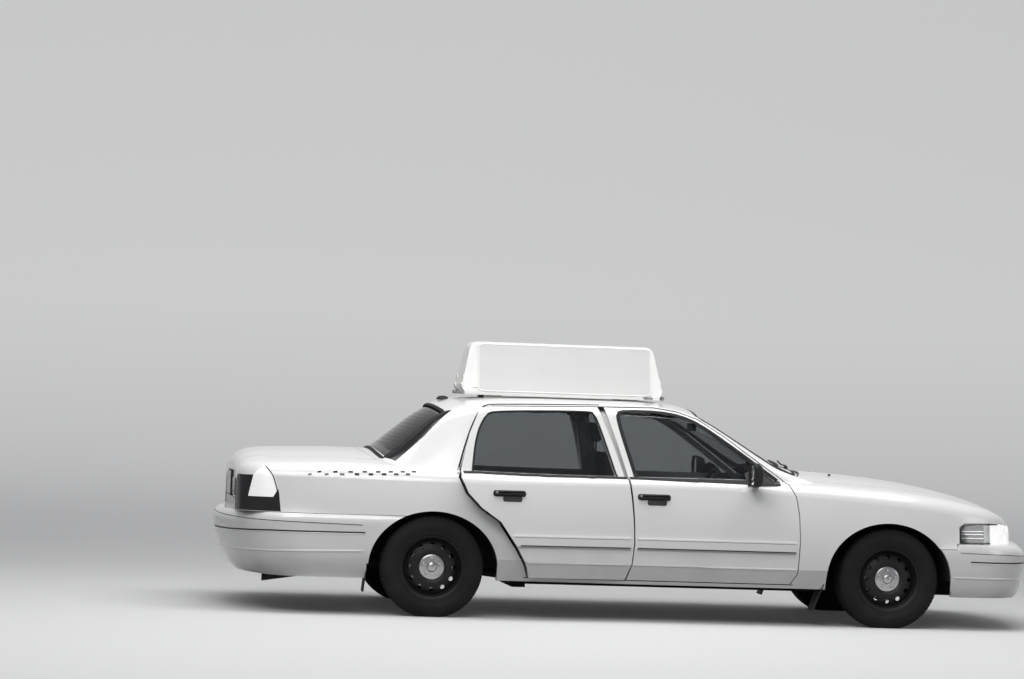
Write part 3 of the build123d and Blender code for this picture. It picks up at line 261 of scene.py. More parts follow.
discSteel = makeMetal("brakeDiscSteel", (0.46, 0.45, 0.44), 0.34, 0.15, 0.2)
capMetal = makeMetal("hubCapMetal", (0.46, 0.46, 0.46), 0.3, 0.08, 0.25)
chrome = makeMetal("chrome", (0.82, 0.82, 0.83), 0.07, 0.03, 0.08)
reflector = makeMetal("lampReflector", (0.90, 0.90, 0.91), 0.10, 0.02, 0.0)
signShell = plainFinish("signShell", (0.80, 0.80, 0.785), 0.3, 1200, 0.06, 0.15, 1.7, 0.02)
signPanel = makeSignFace()
dashPlastic = plainFinish("dashPlastic", (0.035, 0.035, 0.038), 0.62, 1100, 0.5, 0.1)
liningCloth = plainFinish("liningCloth", (0.06, 0.06, 0.063), 0.9, 1500, 0.5, 0.05)
seatCloth = makeCloth()
seatVinyl = plainFinish("seatVinyl", (0.045, 0.045, 0.048), 0.42, 1000, 0.4, 0.1)
platePaint = plainFinish("platePaint", (0.74, 0.74, 0.72), 0.38, 900, 0.05, 0.35, 1.0, 0.03)
amberLens = makeLens("markerLens", (0.80, 0.72, 0.62), 90, "Z")
bulbGlow = plainFinish("bulbGlow", (0.9, 0.9, 0.88), 0.3, 0, 0, 0.0, 1.0, 0.02,
                       Emission_Color=(1, 0.98, 0.95, 1), Emission_Strength=0.5)
print("materials made")

nodeFinish = (
    (paint, "side_frames roof fenders quarter_panels rear_deck hood trunk_lid front_bumper rear_bumper "
            "front_door_right front_door_left rear_door_right rear_door_left"),
    (underPaint, "chassis_frame floor_pan wheel_houses radiator_support fuel_tank front_suspension"),
    (blackTrim, "cowl grille mirror_right mirror_left"),
    (windowGlass, "windshield front_door_glass_right front_door_glass_left rear_door_glass_right "
                  "rear_door_glass_left"),
    (rustyIron, "exhaust rear_axle knuckle_right knuckle_left"),
    (wheelPaint, "wheel_front_right wheel_front_left wheel_rear_right wheel_rear_left"),
    (tyreRubber, "tyre_front_right tyre_front_left tyre_rear_right tyre_rear_left"),
    (glossBlack, "rear_panel"), (rearGlass, "backlight"), (signShell, "roof_sign"), (castMetal, "engine"),
    (dashPlastic, "dash steering_wheel"), (headlampLens, "headlamps"), (tailLens, "tail_lamps"),
    (seatCloth, "front_seats rear_seat"))
for finish, names in nodeFinish:
    for name in names.split():
        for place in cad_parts[name].material_slots:
            place.material = finish
print("CAD nodes finished")


# Shared ways of making pieces


def linked(name, data):
    made = bpy.data.objects.new(name, data)
    bpy.context.scene.collection.objects.link(made)
    return made


def meshFrom(name, bm):
    mesh = bpy.data.meshes.new(name)
    bm.to_mesh(mesh)
    bm.free()
    return mesh


def evaluated(piece):
    # A new mesh with the piece's modifiers applied, which then leave the piece.
    mesh = bpy.data.meshes.new_from_object(piece.evaluated_get(bpy.context.evaluated_depsgraph_get()))
    piece.modifiers.clear()
    return mesh


softAngle = 38


def addPiece(name, bm, material, body="root", smooth=softAngle, materials=()):
    mesh = meshFrom(name, bm)
    for each in (material, *materials):
        mesh.materials.append(each)
    mesh.shade_smooth()
    mesh.set_sharp_from_angle(angle=math.radians(smooth))
    piece = linked(name, mesh)
    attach(piece, body)
    return piece


def mirrored(bm):
    twin = bm.copy()
    bmesh.ops.scale(twin, vec=(1, -1, 1), verts=twin.verts)
    bmesh.ops.reverse_faces(twin, faces=twin.faces)
    return twin


hingeOfAjarDoor = car(-1736, -990, 0)
ajarAngle = math.radians(7)
ajarTurn = (Matrix.Translation(hingeOfAjarDoor) @ Matrix.Rotation(ajarAngle, 4, "Z")
            @ Matrix.Translation(-hingeOfAjarDoor))


def addPair(name, bm, material, door=None, smooth=softAngle):
    # The piece is made for the left side and its twin is mirrored to the right, where the rear door is ajar.
    twin = mirrored(bm)
    if door == "rear":
        bmesh.ops.transform(twin, matrix=ajarTurn, verts=twin.verts)
    bodies = [door + "_door_" + side if door else "root" for side in ("left", "right")]
    left = addPiece(name + "_left", bm, material, bodies[0], smooth)
    right = addPiece(name + "_right", twin, material, bodies[1], smooth)
    return left, right


def nodeTree(*names):
    verts = []
    faces = []
    for name in names:
        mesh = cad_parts[name].data
        start = len(verts)
        verts += [vertex.co.copy() for vertex in mesh.vertices]
        faces += [[start + index for index in polygon.vertices] for polygon in mesh.polygons]
    return BVHTree.FromPolygons(verts, faces)


def nodeMesh(name):
    bm = bmesh.new()
    bm.from_mesh(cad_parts[name].data)
    bmesh.ops.remove_doubles(bm, verts=bm.verts, dist=0.0001)
    return bm


beyondSide = 1300
beyondNose = 2500
beyondTail = -6500


def hitSkin(tree, origin, direction):
    place, normal = tree.ray_cast(origin, Vector(direction).normalized())[:2]
    if place is None:
        return None
    if normal.dot(Vector(direction)) > 0:
        normal = -normal
    return place, normal


def hitFlank(tree, x, z):
    return hitSkin(tree, car(x, beyondSide, z), (0, -1, 0))


def softened(points, rounds=2, closed=False):
    # Cuts the corners of a run of points again and again.
    points = [Vector(point) for point in points]
    for step in range(rounds):
        count = len(points)
        cut = [] if closed else [points[0]]
        for index in range(count if closed else count - 1):
            a = points[index]
            b = points[(index + 1) % count]
            cut += [a.lerp(b, 0.25), a.lerp(b, 0.75)]
        if not closed:
            cut.append(points[-1])
        points = cut
    return points


def spaced(points, spacing, closed=False):
    if closed:
        points = points + [points[0]]
    lengths = [0.0]
    for a, b in zip(points, points[1:]):
        lengths.append(lengths[-1] + (b - a).length)
    count = max(2, round(lengths[-1] / spacing))
    placed = []
    segment = 0
    for index in range(count + (0 if closed else 1)):
        goal = lengths[-1] * index / count
        while segment < len(points) - 2 and lengths[segment + 1] < goal:
            segment += 1
        span = lengths[segment + 1] - lengths[segment]
        part = 0 if span == 0 else (goal - lengths[segment]) / span
        placed.append(points[segment].lerp(points[segment + 1], part))
    return placed


def shifted(points, amount, closed=False):
    # Moves an outline in the x, z plane sideways by the amount.
    moved = []
    count = len(points)
    for index, point in enumerate(points):
        before = points[index - 1] if index or closed else point
        after = points[(index + 1) % count] if index < count - 1 or closed else point
        along = (after - before).normalized()
        moved.append(point + Vector((-along[1], along[0])) * amount)
    return moved


def onSide(tree, outline):
    # Drops an x, z outline onto the left flank.
    return [hit for hit in (hitFlank(tree, x, z) for x, z in outline) if hit]


def facing(tree, outline, fromX):
    # Drops a y, z outline onto the car from ahead of the nose or from behind the tail.
    way = -1 if fromX > 0 else 1
    return [hit for hit in (hitSkin(tree, car(fromX, y, z), (way, 0, 0)) for y, z in outline) if hit]


def axesAt(place, x, y, z):
    return Matrix.Translation(place) @ Matrix((x, y, z)).transposed().to_4x4()


def standing(place, normal):
    return Matrix.Translation(place) @ normal.to_track_quat("Z", "Y").to_matrix().to_4x4()


def frameAt(marks, index, closed):
    count = len(marks)
    before = marks[index - 1][0] if index or closed else marks[index][0]
    after = marks[(index + 1) % count][0] if index < count - 1 or closed else marks[index][0]
    along = (after - before).normalized()
    normal = marks[index][1]
    normal = (normal - along * normal.dot(along)).normalized()
    return axesAt(marks[index][0], along.cross(normal), normal, along)


def ringEdges(verts):
    among = set(verts)
    return [edge for edge in {edge for vert in verts for edge in vert.link_edges}
            if edge.verts[0] in among and edge.verts[1] in among]


def vertsOf(grown):
    return [item for item in grown["geom"] if isinstance(item, bmesh.types.BMVert)]


def sweep(bm, marks, profile, closed=False):
    # Pulls a closed profile, in millimetres across and off the skin, along the marks.
    place = frameAt(marks, 0, closed)
    first = [bm.verts.new(place @ Vector((mm(x), mm(y), 0))) for x, y in profile]
    for a, b in zip(first, first[1:] + first[:1]):
        bm.edges.new((a, b))
    ring = first
    for index in range(1, len(marks)):
        ring = vertsOf(bmesh.ops.extrude_edge_only(bm, edges=ringEdges(ring)))
        nextPlace = frameAt(marks, index, closed)
        bmesh.ops.transform(bm, matrix=nextPlace @ place.inverted(), verts=ring)
        place = nextPlace
    if closed:
        bmesh.ops.bridge_loops(bm, edges=ringEdges(first) + ringEdges(ring))
    else:
        for end in (first, ring):
            bmesh.ops.edgeloop_fill(bm, edges=ringEdges(end))
    bmesh.ops.recalc_face_normals(bm, faces=bm.faces)
    return bm


def swept(marks, profile, closed=False):
    return sweep(bmesh.new(), marks, profile, closed)


def strip(width, height, sunk=1.0):
    # A low moulding with a rounded back.
    half = width / 2
    return [(-half, -sunk), (half, -sunk), (half, height * 0.35), (half * 0.6, height * 0.85), (0, height),
            (-half * 0.6, height * 0.85), (-half, height * 0.35)]


def groove(width, height=0.6):
    half = width / 2
    return [(-half, -1), (half, -1), (half, height), (-half, height)]


def spun(bm, points, centre, axis, steps):
    # Turns a run of points about an axis through the centre.
    verts = [bm.verts.new(centre + point) for point in points]
    edges = [bm.edges.new(pair) for pair in zip(verts, verts[1:])]
    bmesh.ops.spin(bm, geom=verts + edges, cent=centre, axis=axis, dvec=(0, 0, 0), angle=2 * math.pi,
                   steps=steps, use_merge=True)
    bmesh.ops.remove_doubles(bm, verts=bm.verts, dist=0.00002)


def spinRound(bm, outline, steps, centre):
    # Turns an outline of (radius, y) points about the wheel's axle.
    spun(bm, [Vector((mm(radius), mm(y), 0)) for radius, y in outline], centre, (0, 1, 0), steps)
    bmesh.ops.recalc_face_normals(bm, faces=bm.faces)


def cone(bm, segments, foot, top, depth, matrix):
    bmesh.ops.create_cone(bm, cap_ends=True, segments=segments, radius1=mm(foot), radius2=mm(top),
                          depth=mm(depth), matrix=matrix)


def bevelled(bm, edges, offset, segments, clamp=False):
    bmesh.ops.bevel(bm, geom=edges, offset=offset, offset_type="OFFSET", affect="EDGES", segments=segments,
                    profile=0.5, material=-1, clamp_overlap=clamp)


def roundedBlock(bm, low, high, radius, segments=3):
    made = bmesh.ops.create_cube(bm, size=1.0)
    bmesh.ops.scale(bm, vec=Vector(high) - Vector(low), verts=made["verts"])
    bmesh.ops.translate(bm, vec=(Vector(high) + Vector(low)) / 2, verts=made["verts"])
    if radius:
        edges = list({edge for vert in made["verts"] for edge in vert.link_edges})
        bevelled(bm, edges, radius, segments, True)
    return bm


def thickened(bm, face, move):
    # Draws a face out into a plate.
    grown = bmesh.ops.extrude_face_region(bm, geom=[face])
    bmesh.ops.translate(bm, vec=move, verts=vertsOf(grown))
    bmesh.ops.recalc_face_normals(bm, faces=bm.faces)


def joinLoops(bm, loops):
    # Walls between closed loops, and a cap at each end.
    for lower, upper in zip(loops, loops[1:]):
        for index in range(len(lower)):
            bm.faces.new((lower[index - 1], lower[index], upper[index], upper[index - 1]))
    bm.faces.new(loops[0])
    bm.faces.new(loops[-1])


doorTree = {"front": nodeTree("front_door_left"), "rear": nodeTree("rear_door_left")}
doorGlassTree = {"front": nodeTree("front_door_glass_left"), "rear": nodeTree("rear_door_glass_left")}
roofTree = nodeTree("roof")
print("skins ready")


# Wheels

wheelLook = {"rim": 203, "tyreRadius": 338, "tyreWidth": 225, "vents": 12, "ventCircle": 147,
             "ventRadius": 15, "lugCircle": 57, "lugs": 5, "blocks": 72, "blockSize": (8.6, 23),
             "blockTurn": 14}
wheelCentres = {"front_right": (0, -805), "front_left": (0, 805),
                "rear_right": (rearAxleX, -833), "rear_left": (rearAxleX, 833)}


def makeRim(centre, out):
    # The steel barrel. out is +1 or -1, the way the wheel faces.
    rim = wheelLook["rim"]
    bm = bmesh.new()
    barrel = [(9, 97), (8, 92), (0, 88), (-6, 84), (-9, 66), (-20, 50), (-22, 10), (-22, -30), (-12, -46),
              (-9, -78), (-3, -88), (8, -92), (9, -97), (12, -94), (11, -88), (2, -83), (-4, -74), (-7, -44),
              (-17, -26), (-17, 46), (-4, 68), (-1, 80), (10, 88), (12, 95), (9, 97)]
    spinRound(bm, [(rim + r, y * out) for r, y in barrel], 72, centre)
    return bm


discOutline = [(30, 56), (78, 56), (86, 60), (96, 72), (104, 75), (114, 73), (150, 63), (164, 52), (176, 42),
               (185, 38), (186, 34), (175, 37), (162, 47), (148, 58), (112, 68), (98, 67), (88, 55), (78, 50),
               (30, 50), (30, 56)]


def aroundWheel(centre, count, radius, start=0.0):
    for index in range(count):
        angle = start + 2 * math.pi * index / count
        yield centre + Vector((math.cos(angle), 0, math.sin(angle))) * mm(radius)


def cutVents(piece, centre, out):
    # The round vents are bored with one cutter, which is then thrown away.
    cutter = bmesh.new()
    for spot in aroundWheel(centre, wheelLook["vents"], wheelLook["ventCircle"]):
        spot.y += mm(60) * out
        turn = Matrix.Translation(spot) @ Matrix.Rotation(math.pi / 2, 4, "X")
        cone(cutter, 20, wheelLook["ventRadius"], wheelLook["ventRadius"], 60, turn)
    mesh = meshFrom("ventCutter", cutter)
    tool = linked("ventCutter", mesh)
    bore = piece.modifiers.new("vents", "BOOLEAN")
    bore.operation = "DIFFERENCE"
    bore.solver = "EXACT"
    bore.object = tool
    bpy.context.view_layer.update()
    solid = piece.data
    piece.data = evaluated(piece)
    bpy.data.meshes.remove(solid)
    bpy.data.objects.remove(tool)
    piece.data.shade_smooth()
    piece.data.set_sharp_from_angle(angle=math.radians(softAngle))


def makeTreadBlocks(bm, centre):
    # Five rows of blocks round the tyre: how far across, half as wide, the turn on from the row before, and
    # how much lower the row lies.
    tall, long = wheelLook["blockSize"]
    lean = Matrix.Rotation(math.radians(wheelLook["blockTurn"]), 4, "X")
    for y, halfWidth, phase, drop in ((-76, 15, 0.0, 4), (-40, 17, 0.5, 0), (0, 20, 0.0, 0), (40, 17, 0.5, 0),
                                      (76, 15, 0.0, 4)):
        radius = wheelLook["tyreRadius"] - 4.5 - drop
        for index in range(wheelLook["blocks"]):
            angle = 2 * math.pi * (index + phase) / wheelLook["blocks"]
            turn = (Matrix.Translation(centre) @ Matrix.Rotation(angle, 4, "Y")
                    @ Matrix.Translation((mm(radius), mm(y), 0)) @ lean)
            made = bmesh.ops.create_cube(bm, size=1.0, matrix=turn)
            bmesh.ops.scale(bm, vec=(mm(tall), mm(2 * halfWidth), mm(long)), verts=made["verts"],
                            space=turn.inverted())


def makeRunningWheel(name):
    x, y = wheelCentres[name]
    centre = car(x, y, wheelLook["tyreRadius"])
    out = 1 if y > 0 else -1
    body = "wheel_" + name
    radius, half = wheelLook["tyreRadius"], wheelLook["tyreWidth"] / 2
    rim = wheelLook["rim"]
    side = [(rim + r, w) for r, w in (
        (3, 84), (3, 95), (8, 102), (18, 106), (22, 105), (34, 109), (58, half - 1), (62, half),
        (66, half - 1), (84, half - 2), (100, half - 6), (104, half - 8), (112, half - 12))]
    side += [(radius - 14, half - 16), (radius - 10, half - 30)]
    bm = bmesh.new()
    spinRound(bm, [(r, -w) for r, w in side] + side[::-1], 96, centre)
    makeTreadBlocks(bm, centre)
    tyre = addPiece("tyreBody_" + name, bm, tyreRubber, body, smooth=30)
    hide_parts("tyre_" + name)

    disc = bmesh.new()
    spinRound(disc, [(r, w * out) for r, w in discOutline], 96, centre)
    cutVents(addPiece("steelDisc_" + name, disc, wheelPaint, body), centre, out)
    rimPiece = addPiece("steelRim_" + name, makeRim(centre, out), wheelPaint, body)

    cap = bmesh.new()
    capOutline = [(0, 80), (14, 79.5), (24, 77), (30, 72), (34, 67), (42, 66), (66, 65), (76, 63), (84, 60),
                  (88, 55), (86, 50), (60, 50)]
    spinRound(cap, [(r, w * out) for r, w in capOutline], 60, centre)
    outward = Matrix.Rotation(-math.pi / 2 * out, 4, "X")
    for spot in aroundWheel(centre, wheelLook["lugs"], wheelLook["lugCircle"], math.pi / 2):
        cone(cap, 6, 11, 10, 14, Matrix.Translation(spot + Vector((0, mm(69) * out, 0))) @ outward)
        dome = Matrix.Translation(spot + Vector((0, mm(75) * out, 0))) @ Matrix.Scale(0.5, 4, (0, 1, 0))
        bmesh.ops.create_uvsphere(cap, u_segments=12, v_segments=8, radius=mm(9.5), matrix=dome)
    addPiece("hubCap_" + name, cap, capMetal, body)

    brake = bmesh.new()
    rotor = [(70, -2), (70, 10), (78, 15), (145, 15), (145, 7), (120, 6), (120, 1), (145, 0), (145, -8),
             (76, -8), (70, -2)]
    spinRound(brake, [(r, (w - 2) * out * -1) for r, w in rotor], 60, centre)
    hub = [(0, 48), (60, 48), (68, 44), (72, 20), (72, -10), (64, -14), (0, -14)]
    spinRound(brake, [(r, w * out) for r, w in hub], 48, centre)
    addPiece("brakeRotor_" + name, brake, discSteel, body)
    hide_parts("wheel_" + name)


for wheelName in wheelCentres:
    makeRunningWheel(wheelName)
print("wheels made")


# Window seals and belt mouldings

windowLook = {
    "front": {"seal": (25, 10), "corners": [(-765, 962), (-1135, 1222), (-1306, 1331), (-1430, 1374),
                                            (-1576, 1392), (-1805, 1389), (-1830, 1372), (-1708, 962)]},
    "rear": {"seal": (13, 5.5), "corners": [(-1838, 962), (-1952, 1368), (-1985, 1386), (-2640, 1368),
                                            (-2700, 1342), (-2772, 1205), (-2812, 962)]},
}


def softRun(corners, spacing, closed=False):
    return spaced(softened(corners, 2), spacing, closed)


def makeWindowSeal(end):
    look = windowLook[end]
    width, inset = look["seal"]
    marks = onSide(doorTree[end], shifted(softRun(look["corners"], 22), -inset))
    addPair(end + "WindowSeal", swept(marks, strip(width, 4.5)), sealRubber, end)


makeWindowSeal("front")
makeWindowSeal("rear")


def beltMarks(end, xFrom, xTo, drop, fall=0):
    # The foot of the glass is where a level ray meets glass before it meets the door; past the glass
    # the band goes on level. It drops by the fall more at its first end.
    steps = max(2, round(abs(xTo - xFrom) / 30))
    places = [xFrom + (xTo - xFrom) * index / steps for index in range(steps + 1)]
    feet = {}
    for x in places:
        for z in range(950, 1000, 2):
            door = hitFlank(doorTree[end], x, z)
            glass = hitFlank(doorGlassTree[end], x, z)
            if glass and (not door or glass[0].y > door[0].y):
                feet[x] = z
                break
    outline = []
    for x in places:
        foot = feet[min(feet, key=lambda known: abs(known - x))]
        outline.append((x, foot - drop - fall * (x - xTo) / (xFrom - xTo)))
    return onSide(doorTree[end], outline)


bm = swept(beltMarks("front", -752, -1766, 11), strip(33, 7, 4))
bm = sweep(bm, beltMarks("front", -752, -1766, 10, 16), strip(30, 7, 4))
addPair("frontBelt", bm, blackTrim, "front")
addPair("rearBelt", swept(beltMarks("rear", -1778, -2884, 11), strip(33, 7, 4)), blackTrim, "rear")
print("seals made")


# Trim round the windshield and the backlight

def paneOutline(low, high):
    # low and high are (half width, height at the ends, height in the middle).
    points = []
    for half, ends, middle, way in ((*low, 1), (*high, -1)):
        for step in range(-6, 7):
            y = half * step / 6 * way
            points.append(Vector((y, middle - (middle - ends) * (y / half) ** 2)))
    return points


windshieldTree = nodeTree("windshield")
backlightTree = nodeTree("backlight")
paneLook = {
    "windshield": {"sealHeight": 3, "low": (748, 1012, 1048), "high": (628, 1372, 1420), "from": beyondNose,
                   "tree": windshieldTree},
    "backlight": {"sealHeight": 5, "low": (672, 1040, 1098), "high": (600, 1352, 1398), "from": beyondTail,
                  "tree": backlightTree},
}


def makePaneTrim(name):
    look = paneLook[name]
    outline = spaced(paneOutline(look["low"], look["high"]), 40, True)
    rim = facing(roofTree, shifted(outline, -3, True), look["from"])
    addPiece(name + "Seal", swept(rim, strip(24, look["sealHeight"], 6), True), sealRubber)
    band = facing(look["tree"], shifted(outline, 17, True), look["from"])
    addPiece(name + "Border", swept(band, groove(42), True), glossBlack)


makePaneTrim("windshield")
makePaneTrim("backlight")


def alongRun(points, part):
    # The place at a part, from 0 to 1, of a run of points.
    spot = part * (len(points) - 1)
    index = min(int(spot), len(points) - 2)
    return points[index].lerp(points[index + 1], spot - index)


def makeBacklightSides():
    # The black edge of the backlight is wide at the foot of its sides and narrows towards the roof.
    tree = nodeTree("roof", "backlight", "quarter_panels")
    inner = [car(-3392, 668, 1043), car(-3215, 636, 1195), car(-2985, 598, 1356)]
    outer = [car(-3316, 755, 1023), car(-3236, 738, 1098), car(-3127, 711, 1192), car(-3030, 672, 1285),
             car(-2940, 628, 1367)]
    out = Vector((-0.6, 0.7, 0.4)).normalized()
    bm = bmesh.new()
    rows = []
    for step in range(29):
        row = []
        for column in range(10):
            spot = alongRun(inner, step / 28).lerp(alongRun(outer, step / 28), column / 9)
            place, normal = hitSkin(tree, spot + out * 0.3, -out)
            row.append(bm.verts.new(place + normal * 0.0022))
        rows.append(row)
    for a, b in zip(rows, rows[1:]):
        for column in range(9):
            bm.faces.new((a[column], a[column + 1], b[column + 1], b[column]))
    bmesh.ops.recalc_face_normals(bm, faces=bm.faces)
    if bm.faces[:][0].normal.dot(out) < 0:
        bmesh.ops.reverse_faces(bm, faces=bm.faces[:])
    bmesh.ops.solidify(bm, geom=bm.faces[:], thickness=0.003)
    addPair("backlightSides", bm, glossBlack)


makeBacklightSides()


def makeHeaterLines():
    bm = bmesh.new()
    for index in range(11):
        z = 1122 + index * 22
        line = [(-560 + 56 * step, z + 16 - 16 * ((-560 + 56 * step) / 560) ** 2) for step in range(21)]
        bm = sweep(bm, facing(backlightTree, line, beyondTail), groove(1.4))
    addPiece("backlightHeater", bm, blackTrim)


makeHeaterLines()


def makeWipers():
    bm = bmesh.new()
    cowlTree = nodeTree("cowl", "roof", "windshield")
    for tip, heel, pivot in (((-600, 1052), (-90, 1082), (-130, 1032)),
                             ((20, 1082), (540, 1056), (470, 1010))):
        blade = [Vector(tip).lerp(Vector(heel), step / 10) for step in range(11)]
        marks = facing(windshieldTree, blade, beyondNose)
        bm = sweep(bm, marks, [(-4, 0), (4, 0), (5, 6), (2, 7), (2, 16), (-2, 16), (-2, 7), (-5, 6)])
        middle = Vector(tip).lerp(Vector(heel), 0.45)
        arm = facing(cowlTree, [Vector(pivot).lerp(middle, step / 6) for step in range(7)], beyondNose)
        lifted = [(place + normal * mm(14 + 3 * index), normal) for index, (place, normal) in enumerate(arm)]
        bm = sweep(bm, lifted, [(-7, -3), (7, -3), (5, 4), (-5, 4)])
        cone(bm, 20, 17, 13, 30, Matrix.Translation(arm[0][0] + Vector((0, 0, 0.008))))
    addPiece("wipers", bm, blackTrim)


makeWipers()
print("windshield and backlight trimmed")


# Door handles, side moulding groove and painted shade, and mirror parts

handleLook = {"front": -1610, "rear": -2588, "height": 839, "length": 221, "tall": 41, "proud": 24,
              "cup": (-45, 85, -54)}


def skinPlace(tree, x, z):
    place, normal = hitFlank(tree, x, z)
    along = Vector((1, 0, 0))
    along = (along - normal * along.dot(normal)).normalized()
    return axesAt(place, along, normal, along.cross(normal))


def roundedPlate(bm, place, across, off, upright, corner, edge):
    # A plate with round ends and a softened outer edge; off is how far its back and its face stand out.
    (xa, xb), (back, out), (low, high) = across, off, sorted(upright)
    outline = [Vector(point) for point in ((xa, low), (xb, low), (xb, high), (xa, high))]
    points = []
    for index, point in enumerate(outline):
        before = (outline[index - 1] - point).normalized()
        after = (outline[(index + 1) % 4] - point).normalized()
        centre = point + (before + after) * corner
        for step in range(7):
            angle = math.pi / 2 * step / 6
            points.append(centre - after * corner * math.cos(angle) - before * corner * math.sin(angle))
    middle = Vector(((xa + xb) / 2, (low + high) / 2))
    loops = []
    for y, inset in ((back, 0), (out - edge, 0), (out - edge * 0.3, edge * 0.3), (out, edge)):
        drawnIn = [[value - math.copysign(inset, value - centre) for value, centre in zip(point, middle)]
                   for point in points]
        loops.append([bm.verts.new(place @ Vector((mm(x), mm(y), mm(z)))) for x, z in drawnIn])
    joinLoops(bm, loops)
    bmesh.ops.recalc_face_normals(bm, faces=bm.faces)


def makeHandle(end):
    look = handleLook
    place = skinPlace(doorTree[end], look[end], look["height"])
    up = -1 if (place.to_3x3() @ Vector((0, 0, 1))).z < 0 else 1
    half, tall = look["length"] / 2, look["tall"] / 2
    bm = bmesh.new()
    roundedPlate(bm, place, (-half, half), (-2, 5), (-tall * up, tall * up), 17, 2)
    roundedPlate(bm, place, (6 - half, half - 6), (3, look["proud"]), (-13 * up, (tall - 3) * up), 13, 6)
    addPair(end + "DoorHandle", bm, blackTrim, end)
    bm = bmesh.new()
    roundedPlate(bm, place, look["cup"][:2], (-2, 3), (look["cup"][2] * up, (4 - tall) * up), 14, 1.5)
    addPair(end + "DoorHandleCup", bm, dashPlastic, end)
    bm = bmesh.new()
    turn = place @ Matrix.Translation((mm(20 - half), mm(look["proud"] + 1), mm(3 * up)))
    cone(bm, 24, 9, 8.4, 5, turn @ Matrix.Rotation(-math.pi / 2, 4, "X"))
    addPair(end + "DoorLock", bm, chrome, end)


makeHandle("front")
makeHandle("rear")


def straight(xFrom, xTo, z, spacing=40):
    steps = max(2, round(abs(xTo - xFrom) / spacing))
    return [(xFrom + (xTo - xFrom) * step / steps, z) for step in range(steps + 1)]


# The thin upper line is a dark groove in the moulding; the wide lower band is painted shade along the
# moulding's lower edge.
mouldingLook = {"grooveAndShade": ((557, 2.2), (502, 9.0)), "creaseZ": 389}


def makeMouldingGrooveAndShade(end, xFrom, xTo):
    bm = bmesh.new()
    for z, width in mouldingLook["grooveAndShade"]:
        bm = sweep(bm, onSide(doorTree[end], straight(xFrom, xTo, z)), groove(width))
    addPair(end + "MouldingGrooveAndShade", bm, dashPlastic, end)


def makeDoorCrease(end, xFrom, xTo):
    # A faint rib where the doors turn under.
    marks = onSide(doorTree[end], straight(xFrom, xTo, mouldingLook["creaseZ"]))
    addPair(end + "DoorCrease", swept(marks, strip(13, 2.6)), paint, end)


makeMouldingGrooveAndShade("front", -654, -1719)
makeMouldingGrooveAndShade("rear", -1768, -2555)
makeDoorCrease("front", -652, -1742)
makeDoorCrease("rear", -1800, -2500)


def makeSail():
    # The black corner piece at the foot of the front window, which the mirror stands on.
    glassY = hitFlank(doorGlassTree["front"], -900, 1010)[0].y
    tree = nodeTree("front_door_left", "front_door_glass_left")
    bm = bmesh.new()
    verts = []
    for x, z in ((-769, 937), (-979, 931), (-979, 1010), (-925, 1052), (-885, 1036)):
        y = max(hitFlank(tree, x, z)[0].y, glassY)
        verts.append(bm.verts.new((car(x, 0, z).x, y + 0.006, mm(z))))
    thickened(bm, bm.faces.new(verts), (0, -0.018, 0))
    addPair("mirrorSail", bm, blackTrim, "front")


makeSail()


mirrorLook = {"rings": ((-972, 948, 1118, 944, 1076, 30), (-984, 940, 1128, 934, 1087, 40),
                        (-980, 935, 1134, 929, 1091, 46), (-965, 934, 1135, 928, 1090, 48),
                        (-940, 936, 1130, 930, 1084, 48), (-918, 944, 1112, 936, 1066, 44),
                        (-908, 960, 1088, 948, 1044, 36))}


def makeMirror():
    # A housing that tapers forward from its glass, on a short arm from the sail.
    bm = bmesh.new()
    loops = []
    for x, yIn, yOut, low, high, corner in mirrorLook["rings"]:
        loop = []
        for index in range(32):
            angle = 2 * math.pi * (index + 0.5) / 32
            y = (yOut - corner if math.cos(angle) > 0 else yIn + corner) + corner * math.cos(angle)
            z = (high - corner if math.sin(angle) > 0 else low + corner) + corner * math.sin(angle)
            loop.append(bm.verts.new(car(x, y, z)))
        loops.append(loop)
    joinLoops(bm, loops)
    roundedBlock(bm, car(-950, 893, 936), car(-900, 950, 984), 0.008)
    bmesh.ops.recalc_face_normals(bm, faces=bm.faces)
    shells = addPair("mirrorShell", bm, blackTrim, "front")
    for shell, side in zip(shells, ("left", "right")):
        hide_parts("mirror_" + side)
    bm = roundedBlock(bmesh.new(), car(-976, 950, 946), car(-972.5, 1116, 1074), 0.0016, 2)
    addPair("mirrorGlass", bm, chrome, "front")


makeMirror()
print("door parts made")


# Checker band on the rear quarters

bandLook = {"start": -3204, "pitch": 74, "growth": 1.06, "width": 30, "tall": 15.5, "startZ": 958,
            "endZ": 938, "endX": -3850, "rowDrop": 18, "fullChecks": 5, "fadeChecks": 6, "lean": 16}


def makeCheckerBand():
    # Square checks that thin out into slanted dashes towards the tail.
    look = bandLook
    quarterTree = nodeTree("quarter_panels")
    bm = bmesh.new()
    x, pitch = look["start"], look["pitch"]
    count = 0
    while x > look["endX"]:
        part = (look["start"] - x) / (look["start"] - look["endX"])
        top = look["startZ"] + (look["endZ"] - look["startZ"]) * part
        fade = min(1, max(0.0, (count - look["fullChecks"]) / look["fadeChecks"]))
        width = look["width"] * (1 - 0.55 * fade)
        tall = look["tall"] * (1 - 0.72 * fade)
        lean = look["lean"] * fade
        for row, along in ((0, 0), (1, pitch * 0.55)):
            z = top - look["rowDrop"] * row
            line = [(x - along + width / 2, z + lean / 2), (x - along, z),
                    (x - along - width / 2, z - lean / 2)]
            marks = onSide(quarterTree, line)
            if len(marks) == 3:
                bm = sweep(bm, marks, groove(tall))
        x -= pitch
        pitch *= look["growth"]
        count += 1
    addPair("checkerBand", bm, glossBlack)


makeCheckerBand()


# Lines round the bumpers

def between(table, value):
    # Reads a table of (place, value) pairs, with straight lines between them.
    for (a, low), (b, high) in zip(table, table[1:]):
        if value <= b:
            return low + (high - low) * (value - a) / (b - a)
    return table[-1][1]


